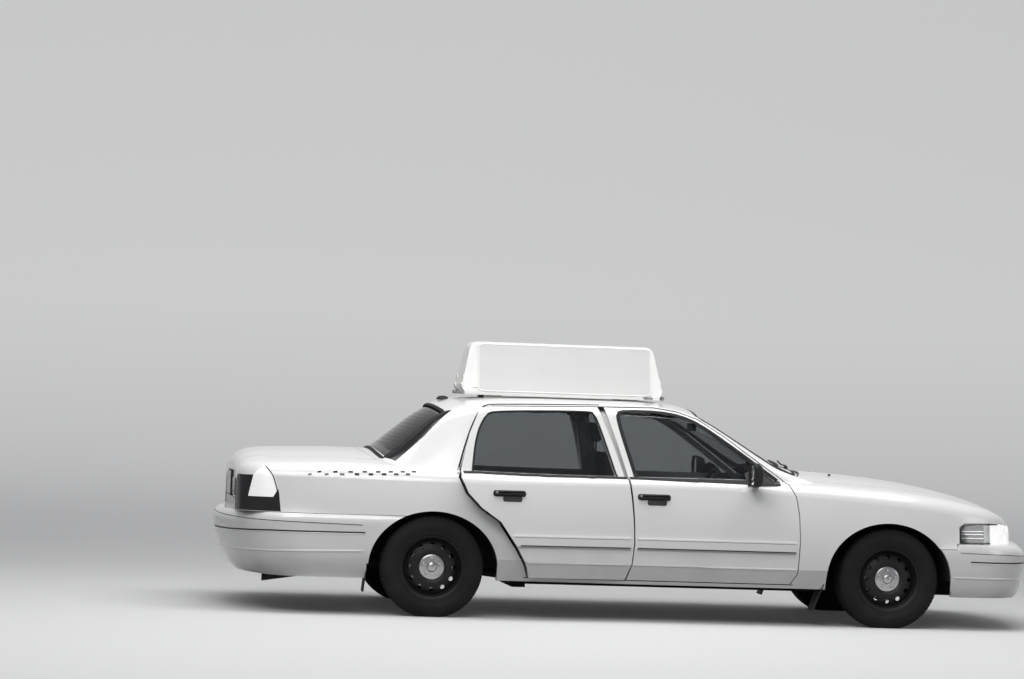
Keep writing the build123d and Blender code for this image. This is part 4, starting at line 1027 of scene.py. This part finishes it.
def wrapped(tree, look, heights, toAngle):
    # Marks round an end of the car. Angles are in degrees either way from the car's middle line, and
    # the heights are a table of (angle, z).
    marks = []
    steps = round(2 * toAngle)
    for index in range(steps + 1):
        turned = -toAngle + 2 * toAngle * index / steps
        angle = math.radians(turned)
        out = Vector((math.cos(angle) * look["way"], math.sin(angle), 0))
        hit = hitSkin(tree, car(look["centre"], 0, between(heights, abs(turned))) + out * 3, -out)
        if hit:
            marks.append(hit)
    return marks


bumperLook = {
    "front": {"centre": 300, "way": 1,
              "line": ([(0, 508), (40, 512), (54, 516), (62, 523), (81, 532)], 80, 3.5),
              "groove": ([(0, 464), (60, 468), (78, 472)], 76, 9),
              "crease": ([(0, 356), (50, 358), (85, 363)], 82, 15)},
    "rear": {"centre": -3500, "way": -1, "line": ([(0, 638), (88, 602)], 88, 4),
             "groove": ([(0, 532), (30, 538), (55, 551), (90, 553)], 89, 10),
             "crease": ([(0, 404), (55, 418), (90, 434)], 88, 15)},
}


def makeBumperLines(end):
    look = bumperLook[end]
    tree = nodeTree(end + "_bumper")
    bm = bmesh.new()
    for part in ("line", "groove"):
        heights, reach, width = look[part]
        bm = sweep(bm, wrapped(tree, look, heights, reach), groove(width, 1.4))
    addPiece(end + "BumperLines", bm, blackTrim)
    heights, reach, width = look["crease"]
    bm = swept(wrapped(tree, look, heights, reach), strip(width, 3.5))
    heights, reach, width = look["groove"]
    lip = [(angle, z - width / 2 - 4) for angle, z in heights]
    bm = sweep(bm, wrapped(tree, look, lip, reach), strip(7, 2.5))
    addPiece(end + "BumperRibs", bm, paint)


makeBumperLines("front")
makeBumperLines("rear")
print("lines and checks made")


# Lamps

def lampFaces(name, way, wantOuter):
    # The outer wall of a lamp looks away from the car; everything else is its housing.
    bm = nodeMesh(name)
    drop = []
    for face in bm.faces:
        normal = face.normal
        side = 1 if face.calc_center_median().y > 0 else -1
        flat = abs(normal.x) > 0.999 or abs(normal.y) > 0.999 or abs(normal.y) < 0.002
        outer = not flat and normal.x * way + normal.y * side + normal.z * 0.3 > 0.15
        if outer != wantOuter:
            drop.append(face)
    bmesh.ops.delete(bm, geom=drop, context="FACES")
    return bm


def cutAlong(bm, *planes):
    for place, normal in planes:
        bmesh.ops.bisect_plane(bm, geom=bm.verts[:] + bm.edges[:] + bm.faces[:], dist=0.00005,
                               plane_co=place, plane_no=normal)


lensWall = 0.0035
# corner and cornerTop are two points on the slanted line past which the lens carries a painted shadow of the
# side marker.
tailLensLook = {"foot": 765, "inner": 805, "lip": 905, "corner": (-4120, 765), "cornerTop": (-4076, 838)}


def makeTailCover():
    # The white lens sits at the corner, over a dark foot, and a slanted patch at its front foot is a painted
    # shadow of the side marker. Inboard of it the lamp is dark under a painted lip.
    look = tailLensLook
    bm = lampFaces("tail_lamps", -1, True)
    (xa, za), (xb, zb) = look["corner"], look["cornerTop"]
    foot, inner, lip = mm(look["foot"]), mm(look["inner"]), mm(look["lip"])
    shadowSlant = Vector((mm(zb - za), 0, -mm(xb - xa))).normalized()
    corner = car(xa, 0, za)
    cutAlong(bm, ((0, 0, foot), (0, 0, 1)), ((0, 0, lip), (0, 0, 1)), ((0, inner, 0), (0, 1, 0)),
             ((0, -inner, 0), (0, 1, 0)), (corner, shadowSlant))
    for face in bm.faces:
        middle = face.calc_center_median()
        inboard = abs(middle.y) < inner
        # Below the foot the lens is dark, and past the slanted plane at its front corner it takes the same
        # dark finish as a painted shadow of the side marker.
        low = middle.z < foot or (middle - corner).dot(shadowSlant) > 0
        if inboard and middle.z > lip:
            face.material_index = 2
        elif inboard or low:
            face.material_index = 1
    bmesh.ops.solidify(bm, geom=bm.faces[:], thickness=lensWall)
    return bm


def makeHeadCover():
    # The lens is clear at the side and fluted in front.
    bm = lampFaces("headlamps", 1, True)
    corner = car(700, 0, 0)
    cutAlong(bm, (corner, (1, 0, 0)))
    for face in bm.faces:
        face.material_index = int(face.calc_center_median().x > corner.x)
    bmesh.ops.solidify(bm, geom=bm.faces[:], thickness=lensWall)
    return bm


lens = addPiece("headlampLenses", makeHeadCover(), headlampLens, materials=(flutedLens,))
addPiece("headlampBowls", lampFaces("headlamps", 1, False), reflector)
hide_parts("headlamps")
lens = addPiece("tailLampLenses", makeTailCover(), tailLens, materials=(glossBlack, paint))
addPiece("tailLampBowls", lampFaces("tail_lamps", -1, False), blackTrim)
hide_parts("tail_lamps")

lampBorders = {
    "headlampBorder": {"node": "headlamps", "width": 9, "line": [
        (760, 722), (530, 720), (483, 694), (481, 640), (481, 595), (560, 595), (700, 595)]},
    "tailLampBorder": {"node": "tail_lamps", "width": 8, "line": [
        (-4172, 965), (-4145, 935), (-4119, 898), (-4105, 850), (-4089, 792), (-4082, 730), (-4077, 678)]},
}
for name, look in lampBorders.items():
    marks = onSide(nodeTree(look["node"]), softRun(look["line"], 18))
    addPair(name, swept(marks, groove(look["width"], 1.5)), glossBlack)


def lifted(marks, off):
    return [(place + normal * off, normal) for place, normal in marks]


def makeHeadlampLiner():
    # Behind the side of the lens: a dark part with three bright ribs, then a white part with upright flutes.
    bm = lampFaces("headlamps", 1, True)
    fluteStart, innerY = car(658, 0, 0), 0.66
    cutAlong(bm, (fluteStart, (1, 0, 0)), ((0, innerY, 0), (0, 1, 0)), ((0, -innerY, 0), (0, 1, 0)))
    away = [face for face in bm.faces if abs(face.calc_center_median().y) < innerY]
    bmesh.ops.delete(bm, geom=away, context="FACES")
    bm.normal_update()
    for vertex in bm.verts:
        vertex.co -= vertex.normal * 0.009
    for face in bm.faces:
        face.material_index = int(face.calc_center_median().x > fluteStart.x)
    bmesh.ops.solidify(bm, geom=bm.faces[:], thickness=0.002)
    addPiece("headlampLiner", bm, linerDark, materials=(linerWhite,))
    lampTree = nodeTree("headlamps")
    ribs = bmesh.new()
    for z in (675, 655, 629):
        ribs = sweep(ribs, lifted(onSide(lampTree, straight(482, 652, z, 20)), -0.008), strip(7, 4))
    for index in range(26):
        x = 664 + index * 7.2
        marks = lifted(onSide(lampTree, [(x, 604), (x, 655), (x, 706)]), -0.0085)
        if len(marks) == 3:
            ribs = sweep(ribs, marks, strip(2.4, 1.8))
    addPair("headlampRibs", ribs, reflector)


makeHeadlampLiner()


def spinForward(outline, centre, steps):
    # Turns an outline of (radius, x) points about a line along the car.
    bm = bmesh.new()
    spun(bm, [Vector((mm(x), mm(radius), 0)) for radius, x in outline], centre, (1, 0, 0), steps)
    return bm


def makeHeadlampInside():
    centre = car(848, 600, 650)
    bowl = [(10, -34), (24, -28), (36, -14), (46, 6), (49, 7), (49, 3), (38, -20), (24, -33), (10, -38)]
    addPair("headlampReflector", spinForward(bowl, centre, 40), reflector)
    bulb = [(0, 10), (7, 8), (9, 0), (8, -24), (12, -28), (12, -36), (0, -36)]
    addPair("headlampBulb", spinForward(bulb, centre, 24), bulbGlow)


makeHeadlampInside()
print("lamps made")


# Roof sign

signLook = {"front": -1441, "rear": -2840, "base": 1476, "top": 1837, "rake": 77, "half": 235, "topHalf": 125,
            "recess": 8, "border": 45, "corner": 60, "panel": (-2713, -1533, 1503, 1820)}


def signSpot(x, z, off):
    # A point on the left face of the sign; off is measured out from the recessed floor.
    look = signLook
    part = (z - look["base"]) / (look["top"] - look["base"])
    y = look["half"] + (look["topHalf"] - look["half"]) * part
    return car(x, y - look["recess"] + off, z)


def signOutline(inset):
    look = signLook
    low, high = look["base"] + inset, look["top"] - inset
    corners = [Vector(point) for point in (
        (look["rear"] + inset, low), (look["front"] - inset, low),
        (look["front"] - look["rake"] - inset, high), (look["rear"] + look["rake"] + inset, high))]
    reach = max(look["corner"] - inset / 2, 8)
    points = []
    for index, corner in enumerate(corners):
        start = corner + (corners[index - 1] - corner).normalized() * reach
        end = corner + (corners[(index + 1) % 4] - corner).normalized() * reach
        for step in range(7):
            part = step / 6
            points.append(start.lerp(corner, part).lerp(corner.lerp(end, part), part))
    return points


def plateOnSign(outline, off, thick, slope):
    bm = bmesh.new()
    thickened(bm, bm.faces.new([bm.verts.new(signSpot(x, z, off)) for x, z in outline]), slope * mm(thick))
    return bm


def makeSignPanel():
    # A filler makes each face flush, and the upright panel lies on it in a slim frame.
    look = signLook
    slope = Vector((0, look["top"] - look["base"], look["half"] - look["topHalf"])).normalized()
    addPair("signFiller", plateOnSign(signOutline(look["border"] + 1), 0.4, 7.2, slope), signShell)

    rear, front, low, high = look["panel"]
    edge = 9
    rounded = [(rear, low + edge), (rear + edge, low), (front - edge, low), (front, low + edge),
               (front, high - edge), (front - edge, high), (rear + edge, high), (rear, high - edge)]
    addPair("signPanel", plateOnSign(rounded, look["recess"] + 0.2, 3, slope), signPanel)
    run = spaced([signSpot(x, z, look["recess"]) for x, z in rounded], 0.035, True)
    addPair("signFrame", swept([(place, slope) for place in run], strip(11, 5), True), signShell, smooth=50)

    bm = bmesh.new()
    for x in range(-2640, -1600, 240):
        cone(bm, 14, 4.5, 3.5, 3, standing(signSpot(x, 1488, look["recess"] + 1), slope))
    addPair("signScrews", bm, castMetal)
    bm = bmesh.new()
    latch = signSpot(-1552, 1489, look["recess"])
    roundedBlock(bm, latch - Vector((0.032, 0.004, 0.009)), latch + Vector((0.032, 0.009, 0.009)), 0.003)
    for x, z in ((-2842, 1478), (-1459, 1478)):
        roundedBlock(bm, car(x, 120, z), car(x + 20, 222, z + 26), 0.004)
    addPair("signLatches", bm, castMetal)


makeSignPanel()


def makeSignLamps():
    # Small round marker lamps low on both ends.
    signTree = nodeTree("roof_sign")
    lenses = bmesh.new()
    rings = bmesh.new()
    for fromX, way in ((0, -1), (-4300, 1)):
        for y in (-172, 172):
            for z in (1530, 1590):
                turn = standing(*hitSkin(signTree, car(fromX, y, z), (way, 0, 0)))
                bmesh.ops.create_uvsphere(lenses, u_segments=24, v_segments=12, radius=0.021,
                                          matrix=turn @ Matrix.Scale(0.5, 4, (0, 0, 1)))
                cone(rings, 28, 27, 23, 10, turn)
    addPiece("signMarkerLamps", lenses, amberLens)
    addPiece("signMarkerRings", rings, signShell)
    marks = [(car(x, 235, signLook["base"] + 10), Vector((0, 1, 0)))
             for x in (signLook["rear"] + 30, signLook["front"] - 30)]
    addPair("signSkirt", swept(marks, [(-9, -2), (9, -2), (9, 3), (-9, 3)]), signShell)


makeSignLamps()


def makeAntenna():
    place = hitSkin(roofTree, car(-2932, 0, 2500), (0, 0, -1))[0]
    bm = bmesh.new()
    outline = [(0, 25), (14, 24), (28, 20), (38, 12), (43, 4), (44, -3)]
    spun(bm, [Vector((mm(radius), 0, mm(z))) for radius, z in outline], place, (0, 0, 1), 36)
    bmesh.ops.recalc_face_normals(bm, faces=bm.faces)
    addPiece("antennaPuck", bm, blackTrim)


makeAntenna()
print("roof pieces made")


# Tail: dark panel, blank plates and exhaust

trunkTree = nodeTree("trunk_lid")
tailLook = {"panelZ": 815, "panelTall": 118, "panelHalf": 538, "plateZ": 830, "plateWide": 305,
            "plateTall": 152}


def makeTailPanel():
    look = tailLook
    across = [look["panelHalf"] * (step / 14 - 1) for step in range(29)]
    marks = facing(trunkTree, [(y, look["panelZ"]) for y in across], beyondTail)
    half = look["panelTall"] / 2
    bm = swept(marks, [(-half, -1), (half, -1), (half, 3), (half - 5, 5), (5 - half, 5), (-half, 3)])
    addPiece("tailPanel", bm, glossBlack, "trunk_lid")
    bm = bmesh.new()
    for z in (look["panelZ"] - 30, look["panelZ"], look["panelZ"] + 30):
        bm = sweep(bm, lifted(facing(trunkTree, [(y, z) for y in across], beyondTail), 0.005), groove(2.5))
    addPiece("tailPanelRibs", bm, dashPlastic, "trunk_lid")


makeTailPanel()


def plateOnto(tree, z, fromX, off):
    place, normal = facing(tree, [(0, z)], fromX)[0]
    normal = Vector((normal.x, 0, normal.z)).normalized()
    across = Vector((0, 1, 0))
    return axesAt(place + normal * off, across, normal.cross(across), normal)


def makePlate(name, place, body):
    wide, tall = mm(tailLook["plateWide"]), mm(tailLook["plateTall"])
    bm = roundedBlock(bmesh.new(), (-wide / 2, -tall / 2, 0), (wide / 2, tall / 2, 0.002), 0)
    corners = [edge for edge in bm.edges if abs(edge.verts[0].co.z - edge.verts[1].co.z) > 0.001]
    bevelled(bm, corners, 0.012, 4)
    front = max(bm.faces, key=lambda face: face.calc_center_median().z)
    bmesh.ops.inset_region(bm, faces=[front], thickness=0.005, depth=0.0)
    front = max(bm.faces, key=lambda face: (round(face.calc_center_median().z, 5), face.calc_area()))
    bmesh.ops.inset_region(bm, faces=[front], thickness=0.002, depth=-0.0012)
    bmesh.ops.transform(bm, matrix=place, verts=bm.verts)
    addPiece(name, bm, platePaint, body, smooth=25)
    bolts = bmesh.new()
    for x in (-88.9, 88.9):
        for y in (-60.3, 60.3):
            cone(bolts, 6, 6.5, 6, 5, place @ Matrix.Translation((mm(x), mm(y), 0.0035)))
    addPiece(name + "Bolts", bolts, chrome, body, smooth=25)
    edge = Vector((wide / 2 + 0.012, tall / 2 + 0.010, 0))
    back = roundedBlock(bmesh.new(), -edge - Vector((0, 0, 0.012)), edge - Vector((0, 0, 0.001)), 0.004)
    bmesh.ops.transform(back, matrix=place, verts=back.verts)
    addPiece(name + "Back", back, blackTrim, body)


makePlate("rearPlate", plateOnto(trunkTree, tailLook["plateZ"], beyondTail, 0.013), "trunk_lid")
makePlate("frontPlate", plateOnto(nodeTree("front_bumper"), 440, beyondNose, 0.010), "root")
print("tail made")


def makeExhaust():
    # The pipe ends under the bumper.
    bm = nodeMesh("exhaust")
    cut = bmesh.ops.bisect_plane(bm, geom=bm.verts[:] + bm.edges[:] + bm.faces[:], dist=0.00005,
                                 plane_co=car(rearAxleX - 1090, 0, 0), plane_no=(-1, 0, 0), clear_outer=True)
    rim = [item for item in cut["geom_cut"] if isinstance(item, bmesh.types.BMEdge)]
    bmesh.ops.holes_fill(bm, edges=rim, sides=0)
    bmesh.ops.recalc_face_normals(bm, faces=bm.faces)
    pipe = addPiece("exhaustPipe", bm, rustyIron)
    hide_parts("exhaust")


makeExhaust()


# Nose: grille surround, washer nozzles and splash flaps

def makeGrilleSurround():
    # A bright rounded moulding round the grille opening.
    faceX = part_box("grille")[1][0]
    half, foot, top = 410, 594, 688
    outline = softened([(-half, foot), (half, foot), (half, top), (-half, top)], 2, True)
    marks = [(Vector((faceX - 0.002, mm(y), mm(z))), Vector((1, 0, 0))) for y, z in outline]
    bm = swept(marks, [(-7, -8), (7, -8), (7, 3), (4, 7), (-4, 7), (-7, 3)], True)
    addPiece("grilleSurround", bm, chrome)


makeGrilleSurround()


def makeNozzles():
    bm = bmesh.new()
    hoodTree = nodeTree("hood")
    shape = Matrix.Scale(0.5, 4, (0, 0, 1)) @ Matrix.Scale(1.5, 4, (1, 0, 0))
    for y in (-330, 330):
        place, normal = hitSkin(hoodTree, car(-300, y, 2500), (0, 0, -1))
        bmesh.ops.create_uvsphere(bm, u_segments=20, v_segments=10, radius=0.010,
                                  matrix=standing(place + normal * 0.005, normal) @ shape)
    addPiece("washerNozzles", bm, blackTrim, "hood")


makeNozzles()


def makeFlaps():
    # Rubber splash flaps behind the front wheels and short ones behind the rear wheels.
    top = 300
    for name, x, foot, lean, yIn, yOut in (("frontFlaps", -446, 118, -66, 760, 948),
                                           ("rearFlaps", rearAxleX - 434, 165, -14, 800, 955)):
        bm = bmesh.new()
        corners = (car(x, yIn, top), car(x, yOut, top), car(x + lean, yOut - 14, foot),
                   car(x + lean, yIn, foot))
        thickened(bm, bm.faces.new([bm.verts.new(corner) for corner in corners]), (-0.006, 0, 0))
        bevelled(bm, bm.edges[:], 0.002, 2)
        addPair(name, bm, sealRubber)


makeFlaps()
print("nose made")


# Cabin

def sidePad(outline, yFrom, yTo, radius, inset=9):
    # A padded block from an outline seen from the side, in x and z.
    points = [Vector(point) for point in outline]
    area = sum(a[0] * b[1] - b[0] * a[1] for a, b in zip(points, points[1:] + points[:1]))
    points = shifted(points, inset if area > 0 else -inset, True)
    bm = bmesh.new()
    face = bm.faces.new([bm.verts.new(car(x, yFrom + inset, z)) for x, z in points])
    thickened(bm, face, (0, mm(yTo - yFrom - 2 * inset), 0))
    bevelled(bm, bm.edges[:], mm(radius), 4, True)
    return bm


def puffed(name, bm, voxel, cap, seams, seamDepth):
    # The pad is remeshed, blown up as cloth, held within the cap, and sewn in along its seams.
    pad = linked(name, meshFrom(name, bm))
    remesh = pad.modifiers.new("even", "REMESH")
    remesh.mode = "VOXEL"
    remesh.voxel_size = mm(voxel)
    pad.data = evaluated(pad)
    start = [vertex.co.copy() for vertex in pad.data.vertices]
    cloth = pad.modifiers.new("stuffing", "CLOTH")
    cloth.settings.use_pressure = True
    cloth.settings.uniform_pressure_force = 4
    cloth.settings.quality = 5
    cloth.settings.effector_weights.gravity = 0
    scene = bpy.context.scene
    for step in range(1, 21):
        scene.frame_set(step)
    blown = evaluated(pad)
    scene.frame_set(1)
    for vertex, before in zip(blown.vertices, start):
        move = vertex.co - before
        if move.length > mm(cap):
            vertex.co = before + move.normalized() * mm(cap)
    pad.data = blown
    bm = bmesh.new()
    bm.from_mesh(pad.data)
    bm.normal_update()
    for vertex in bm.verts:
        depth = 0.0
        for axis, at, wide in seams:
            away = abs(vertex.co[axis] - at) / mm(wide)
            depth = max(depth, math.exp(-away * away))
        vertex.co -= vertex.normal * mm(seamDepth) * depth
    bmesh.ops.smooth_vert(bm, verts=bm.verts, factor=0.35, use_axis_x=True, use_axis_y=True, use_axis_z=True)
    bpy.data.objects.remove(pad)
    return bm


frontSeatLook = {"y": 396, "half": 236, "cushion": [(-1190, 430), (-1185, 588), (-1700, 560), (-1700, 430)],
                 "back": [(-1612, 540), (-1732, 1118), (-1848, 1118), (-1745, 502)],
                 "rest": [(-1764, 1172), (-1787, 1308), (-1883, 1308), (-1860, 1172)],
                 "seams": (-118, 118)}


def seamsAt(y, offsets, wide=7):
    return [(1, mm(y + offset), wide) for offset in offsets]


def addPad(name, bm):
    pad = addPiece(name, bm, seatCloth, smooth=60)
    return pad


def makeFrontSeats():
    look = frontSeatLook
    y, half = look["y"], look["half"]
    upright = seamsAt(y, look["seams"])
    cushion = puffed("seatCushion", sidePad(look["cushion"], y - half, y + half, 38), 11, 9,
                     upright + [(0, car(-1345, 0, 0).x, 6)], 9)
    back = puffed("seatBack", sidePad(look["back"], y - half, y + half, 34), 11, 9,
                  upright + [(2, mm(930), 6)], 9)
    rest = puffed("headRest", sidePad(look["rest"], y - 125, y + 125, 30, 7), 8, 7, [], 0)
    for name, bm, fill in (("SeatCushion", cushion, 0.8), ("SeatBack", back, 0.8), ("HeadRest", rest, 0.9)):
        twin = mirrored(bm)
        addPad("left" + name, bm)
        addPad("right" + name, twin)
    bm = roundedBlock(bmesh.new(), car(-1690, y - half + 20, 343), car(-1215, y + half - 20, 436), 0.012)
    for post in (-54, 54):
        cone(bm, 14, 6, 6, 110, Matrix.Translation(car(-1809, y + post, 1150)))
    addPair("seatFrame", bm, seatVinyl)
    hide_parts("front_seats")


makeFrontSeats()


def makeRearSeat():
    low, half = 532, 638
    cushion = sidePad([(rearAxleX + 640, low + 2), (rearAxleX + 658, low + 118), (rearAxleX + 165, low + 88),
                       (rearAxleX + 145, low + 2)], -half, half, 36)
    back = sidePad([(rearAxleX + 245, low + 24), (rearAxleX + 98, 958), (rearAxleX + 14, 958),
                    (rearAxleX + 112, low + 4)], -half, half, 34)
    seams = seamsAt(0, (-430, -215, 0, 215, 430), 8)
    first = addPad("rearSeatCushion", puffed("rearCushion", cushion, 13, 9, seams, 10))
    addPad("rearSeatBack", puffed("rearBack", back, 13, 9, seams + [(2, mm(860), 7)], 10))
    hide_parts("rear_seat")


makeRearSeat()
print("seats made")


def makeHeadliner():
    # The roof shell's own inner faces, drawn in a little and lined with cloth.
    bm = nodeMesh("roof")
    drop = []
    for face in bm.faces:
        middle, normal = face.calc_center_median(), face.normal
        roofTop = normal.z < -0.3 and middle.z > 1.25
        inward = abs(normal.y) > 0.15 and middle.y * normal.y < 0
        pillar = inward and abs(normal.x) > 0.001 and middle.z > 0.97
        if not (roofTop or pillar):
            drop.append(face)
    bmesh.ops.delete(bm, geom=drop, context="FACES")
    bm.normal_update()
    for vertex in bm.verts:
        vertex.co += vertex.normal * 0.0015
    addPiece("headliner", bm, liningCloth)


makeHeadliner()


def makeDoorCard(end, xFrom, xTo):
    bm = roundedBlock(bmesh.new(), car(xFrom, 800, 425), car(xTo, 884, 872), 0.006)
    roundedBlock(bm, car(xFrom + 120, 735, 680), car(xTo - 120, 804, 735), 0.018, 4)
    addPair(end + "DoorCard", bm, dashPlastic, end)
    pull = roundedBlock(bmesh.new(), car(xTo - 300, 788, 790), car(xTo - 170, 802, 826), 0.008)
    addPair(end + "DoorCardPull", pull, chrome, end)


makeDoorCard("front", -1690, -668)
makeDoorCard("rear", -2500, -1965)


def makeCabinBits():
    shelf = roundedBlock(bmesh.new(), car(rearAxleX - 205, -640, 935), car(rearAxleX + 5, 640, 949), 0.005)
    addPiece("parcelShelf", shelf, liningCloth)
    place = facing(windshieldTree, [(0, 1350)], beyondNose)[0][0]
    mirror = bmesh.new()
    roundedBlock(mirror, place + Vector((-0.075, -0.12, -0.075)), place + Vector((-0.05, 0.12, -0.012)), 0.01)
    turn = Matrix.Translation(place + Vector((-0.035, 0, -0.022))) @ Matrix.Rotation(math.radians(60), 4, "Y")
    cone(mirror, 14, 7, 10, 60, turn)
    addPiece("cabinMirror", mirror, blackTrim)
    visors = bmesh.new()
    for y in (-360, 360):
        roundedBlock(visors, car(-1545, y - 190, 1368), car(-1400, y + 190, 1384), 0.007)
    addPiece("sunVisors", visors, liningCloth)
    gauges = roundedBlock(bmesh.new(), car(-905, 210, 900), car(-770, 560, 985), 0.03, 5)
    addPiece("gaugeHood", gauges, dashPlastic)
    meter = roundedBlock(bmesh.new(), car(-905, -95, 900), car(-860, 95, 960), 0.008)
    addPiece("fareMeter", meter, blackTrim)


makeCabinBits()
print("cabin made")


# Jambs and seals of the rear door openings, which show behind the open door

jambLook = {"line": [(398, 1402), (331, 1390), (248, 1218), (162, 935), (206, 835), (296, 740), (423, 653),
                     (546, 470), (605, 363)],
            "edge": [(1120, 1419), (398, 1402), (331, 1390), (248, 1218), (168, 950)]}


def makeRearJamb():
    bodyTree = nodeTree("quarter_panels", "roof")
    line, edge = (softRun([(rearAxleX + x, z) for x, z in jambLook[key]], spacing)
                  for key, spacing in (("line", 40), ("edge", 30)))
    level = [(place, Vector((0, 1, 0))) for place, normal in onSide(bodyTree, shifted(line, -22))]
    addPair("rearJamb", swept(level, [(-2, -120), (2, -120), (2, -4), (-2, -4)]), paint)
    addPair("rearJambSeal", swept(level, [(-10, -96), (-2, -96), (-2, -74), (-10, -74)]), sealRubber)
    addPair("rearEdgeSeal", swept(onSide(bodyTree, shifted(edge, -16)), strip(12, 3)), sealRubber)


makeRearJamb()


def makeHeaderRails():
    # Dark padded rails under the roof's edges, inside the door frames.
    wallTree = nodeTree("roof", "front_door_left", "rear_door_left", "side_frames")
    marks = []
    for step in range(28):
        place = wallTree.ray_cast(car(-1400 - 44 * step, 0, 1338), Vector((0, 1, 0)))[0]
        if place is not None and place.y > 0.4:
            marks.append((place - Vector((0, 0.012, 0)), Vector((0, -1, 0))))
    bm = swept(marks, [(-30, -2), (30, -2), (30, 6), (24, 10), (-24, 10), (-30, 6)])
    addPair("headerRail", bm, liningCloth)


makeHeaderRails()
print("jambs made")


# Camera, floor and light

view = {"place": (-5609, -23726, 1534), "heading": 7.54, "pitch": 0.78, "roll": 1.97, "focal": 3500,
        "width": 1024}


def makeCamera():
    heading, pitch, roll = (math.radians(view[key]) for key in ("heading", "pitch", "roll"))
    ahead = Vector((math.sin(heading) * math.cos(pitch), math.cos(heading) * math.cos(pitch),
                    math.sin(pitch)))
    level = Vector((math.cos(heading), -math.sin(heading), 0))
    up = level.cross(ahead)
    right = level * math.cos(roll) + up * math.sin(roll)
    top = up * math.cos(roll) - level * math.sin(roll)
    data = bpy.data.cameras.new("photoCamera")
    data.sensor_fit = "HORIZONTAL"
    data.sensor_width = 36
    data.lens = view["focal"] / view["width"] * data.sensor_width
    data.clip_end = 400
    camera = linked("photoCamera", data)
    camera.matrix_world = axesAt(car(*view["place"]), right, top, -ahead)
    bpy.context.scene.camera = camera


def makeFloorPaint():
    # Pale where it is seen, straight, mirrored or through glass, and darker where it only sends light on.
    material, tree, shader = startMaterial("floorPaint", (0.74, 0.74, 0.73), 0.75)
    path = nodeOf(tree, "LightPath").outputs
    seen = path["Is Camera Ray"]
    for kind in ("Is Glossy Ray", "Is Transmission Ray"):
        seen = maths(tree, "ADD", seen, path[kind], clamp=True)
    across = nodeOf(tree, "SeparateXYZ", {0: objectPlace(tree)}).outputs["Y"]
    far = nodeOf(tree, "MapRange", {"Value": across, "From Min": 4, "From Max": 22, "To Min": 0.03,
                                    "To Max": 0.40}).outputs["Result"]
    feed(tree, shader, {"Base Color": mixed(tree, seen, (0.08, 0.08, 0.08, 1), (0.64, 0.64, 0.635, 1)),
                        "Emission Strength": maths(tree, "MULTIPLY", seen, far),
                        "Emission Color": (1, 1, 1, 1)})
    return material


def makeFloor():
    # Level ground that curves up into a tall back wall.
    bm = bmesh.new()
    points = softened([(-45, -30, 0), (-45, 14, 0), (-45, 20, 0.9), (-45, 24, 4), (-45, 26, 24)], 3)
    verts = [bm.verts.new(point) for point in points]
    edges = [bm.edges.new(pair) for pair in zip(verts, verts[1:])]
    wide = bmesh.ops.extrude_edge_only(bm, edges=edges)
    bmesh.ops.translate(bm, vec=(90, 0, 0), verts=vertsOf(wide))
    bmesh.ops.recalc_face_normals(bm, faces=bm.faces)
    mesh = meshFrom("studioFloor", bm)
    mesh.shade_smooth()
    mesh.materials.append(makeFloorPaint())
    floor = linked("studioFloor", mesh)


lamps = {
    "overhead": {"place": (-1700, -1500, 7500), "aim": (-1700, 0, 600), "size": (9.0, 5.0), "power": 530},
    "streetSide": {"place": (-5500, -8500, 7500), "aim": (-1700, 0, 700), "size": (8.0, 3.5), "power": 430},
    "noseSide": {"place": (7500, -6500, 3200), "aim": (-500, 0, 600), "size": (3.5, 3.0), "power": 90},
}


def makeLight():
    for name, look in lamps.items():
        data = bpy.data.lights.new(name, "AREA")
        data.shape = "RECTANGLE"
        data.size, data.size_y = look["size"]
        data.energy = look["power"]
        place = car(*look["place"])
        turn = (car(*look["aim"]) - place).to_track_quat("-Z", "Y").to_matrix().to_4x4()
        linked(name, data).matrix_world = Matrix.Translation(place) @ turn
    world = bpy.data.worlds.new("studioWorld")
    world.use_nodes = True
    background = world.node_tree.nodes["Background"].inputs
    background["Color"].default_value = (0.93, 0.95, 1.0, 1)
    background["Strength"].default_value = 0.30
    bpy.context.scene.world = world


makeCamera()
makeFloor()
makeLight()
bpy.context.scene.view_settings.view_transform = "Standard"
print("stage made")
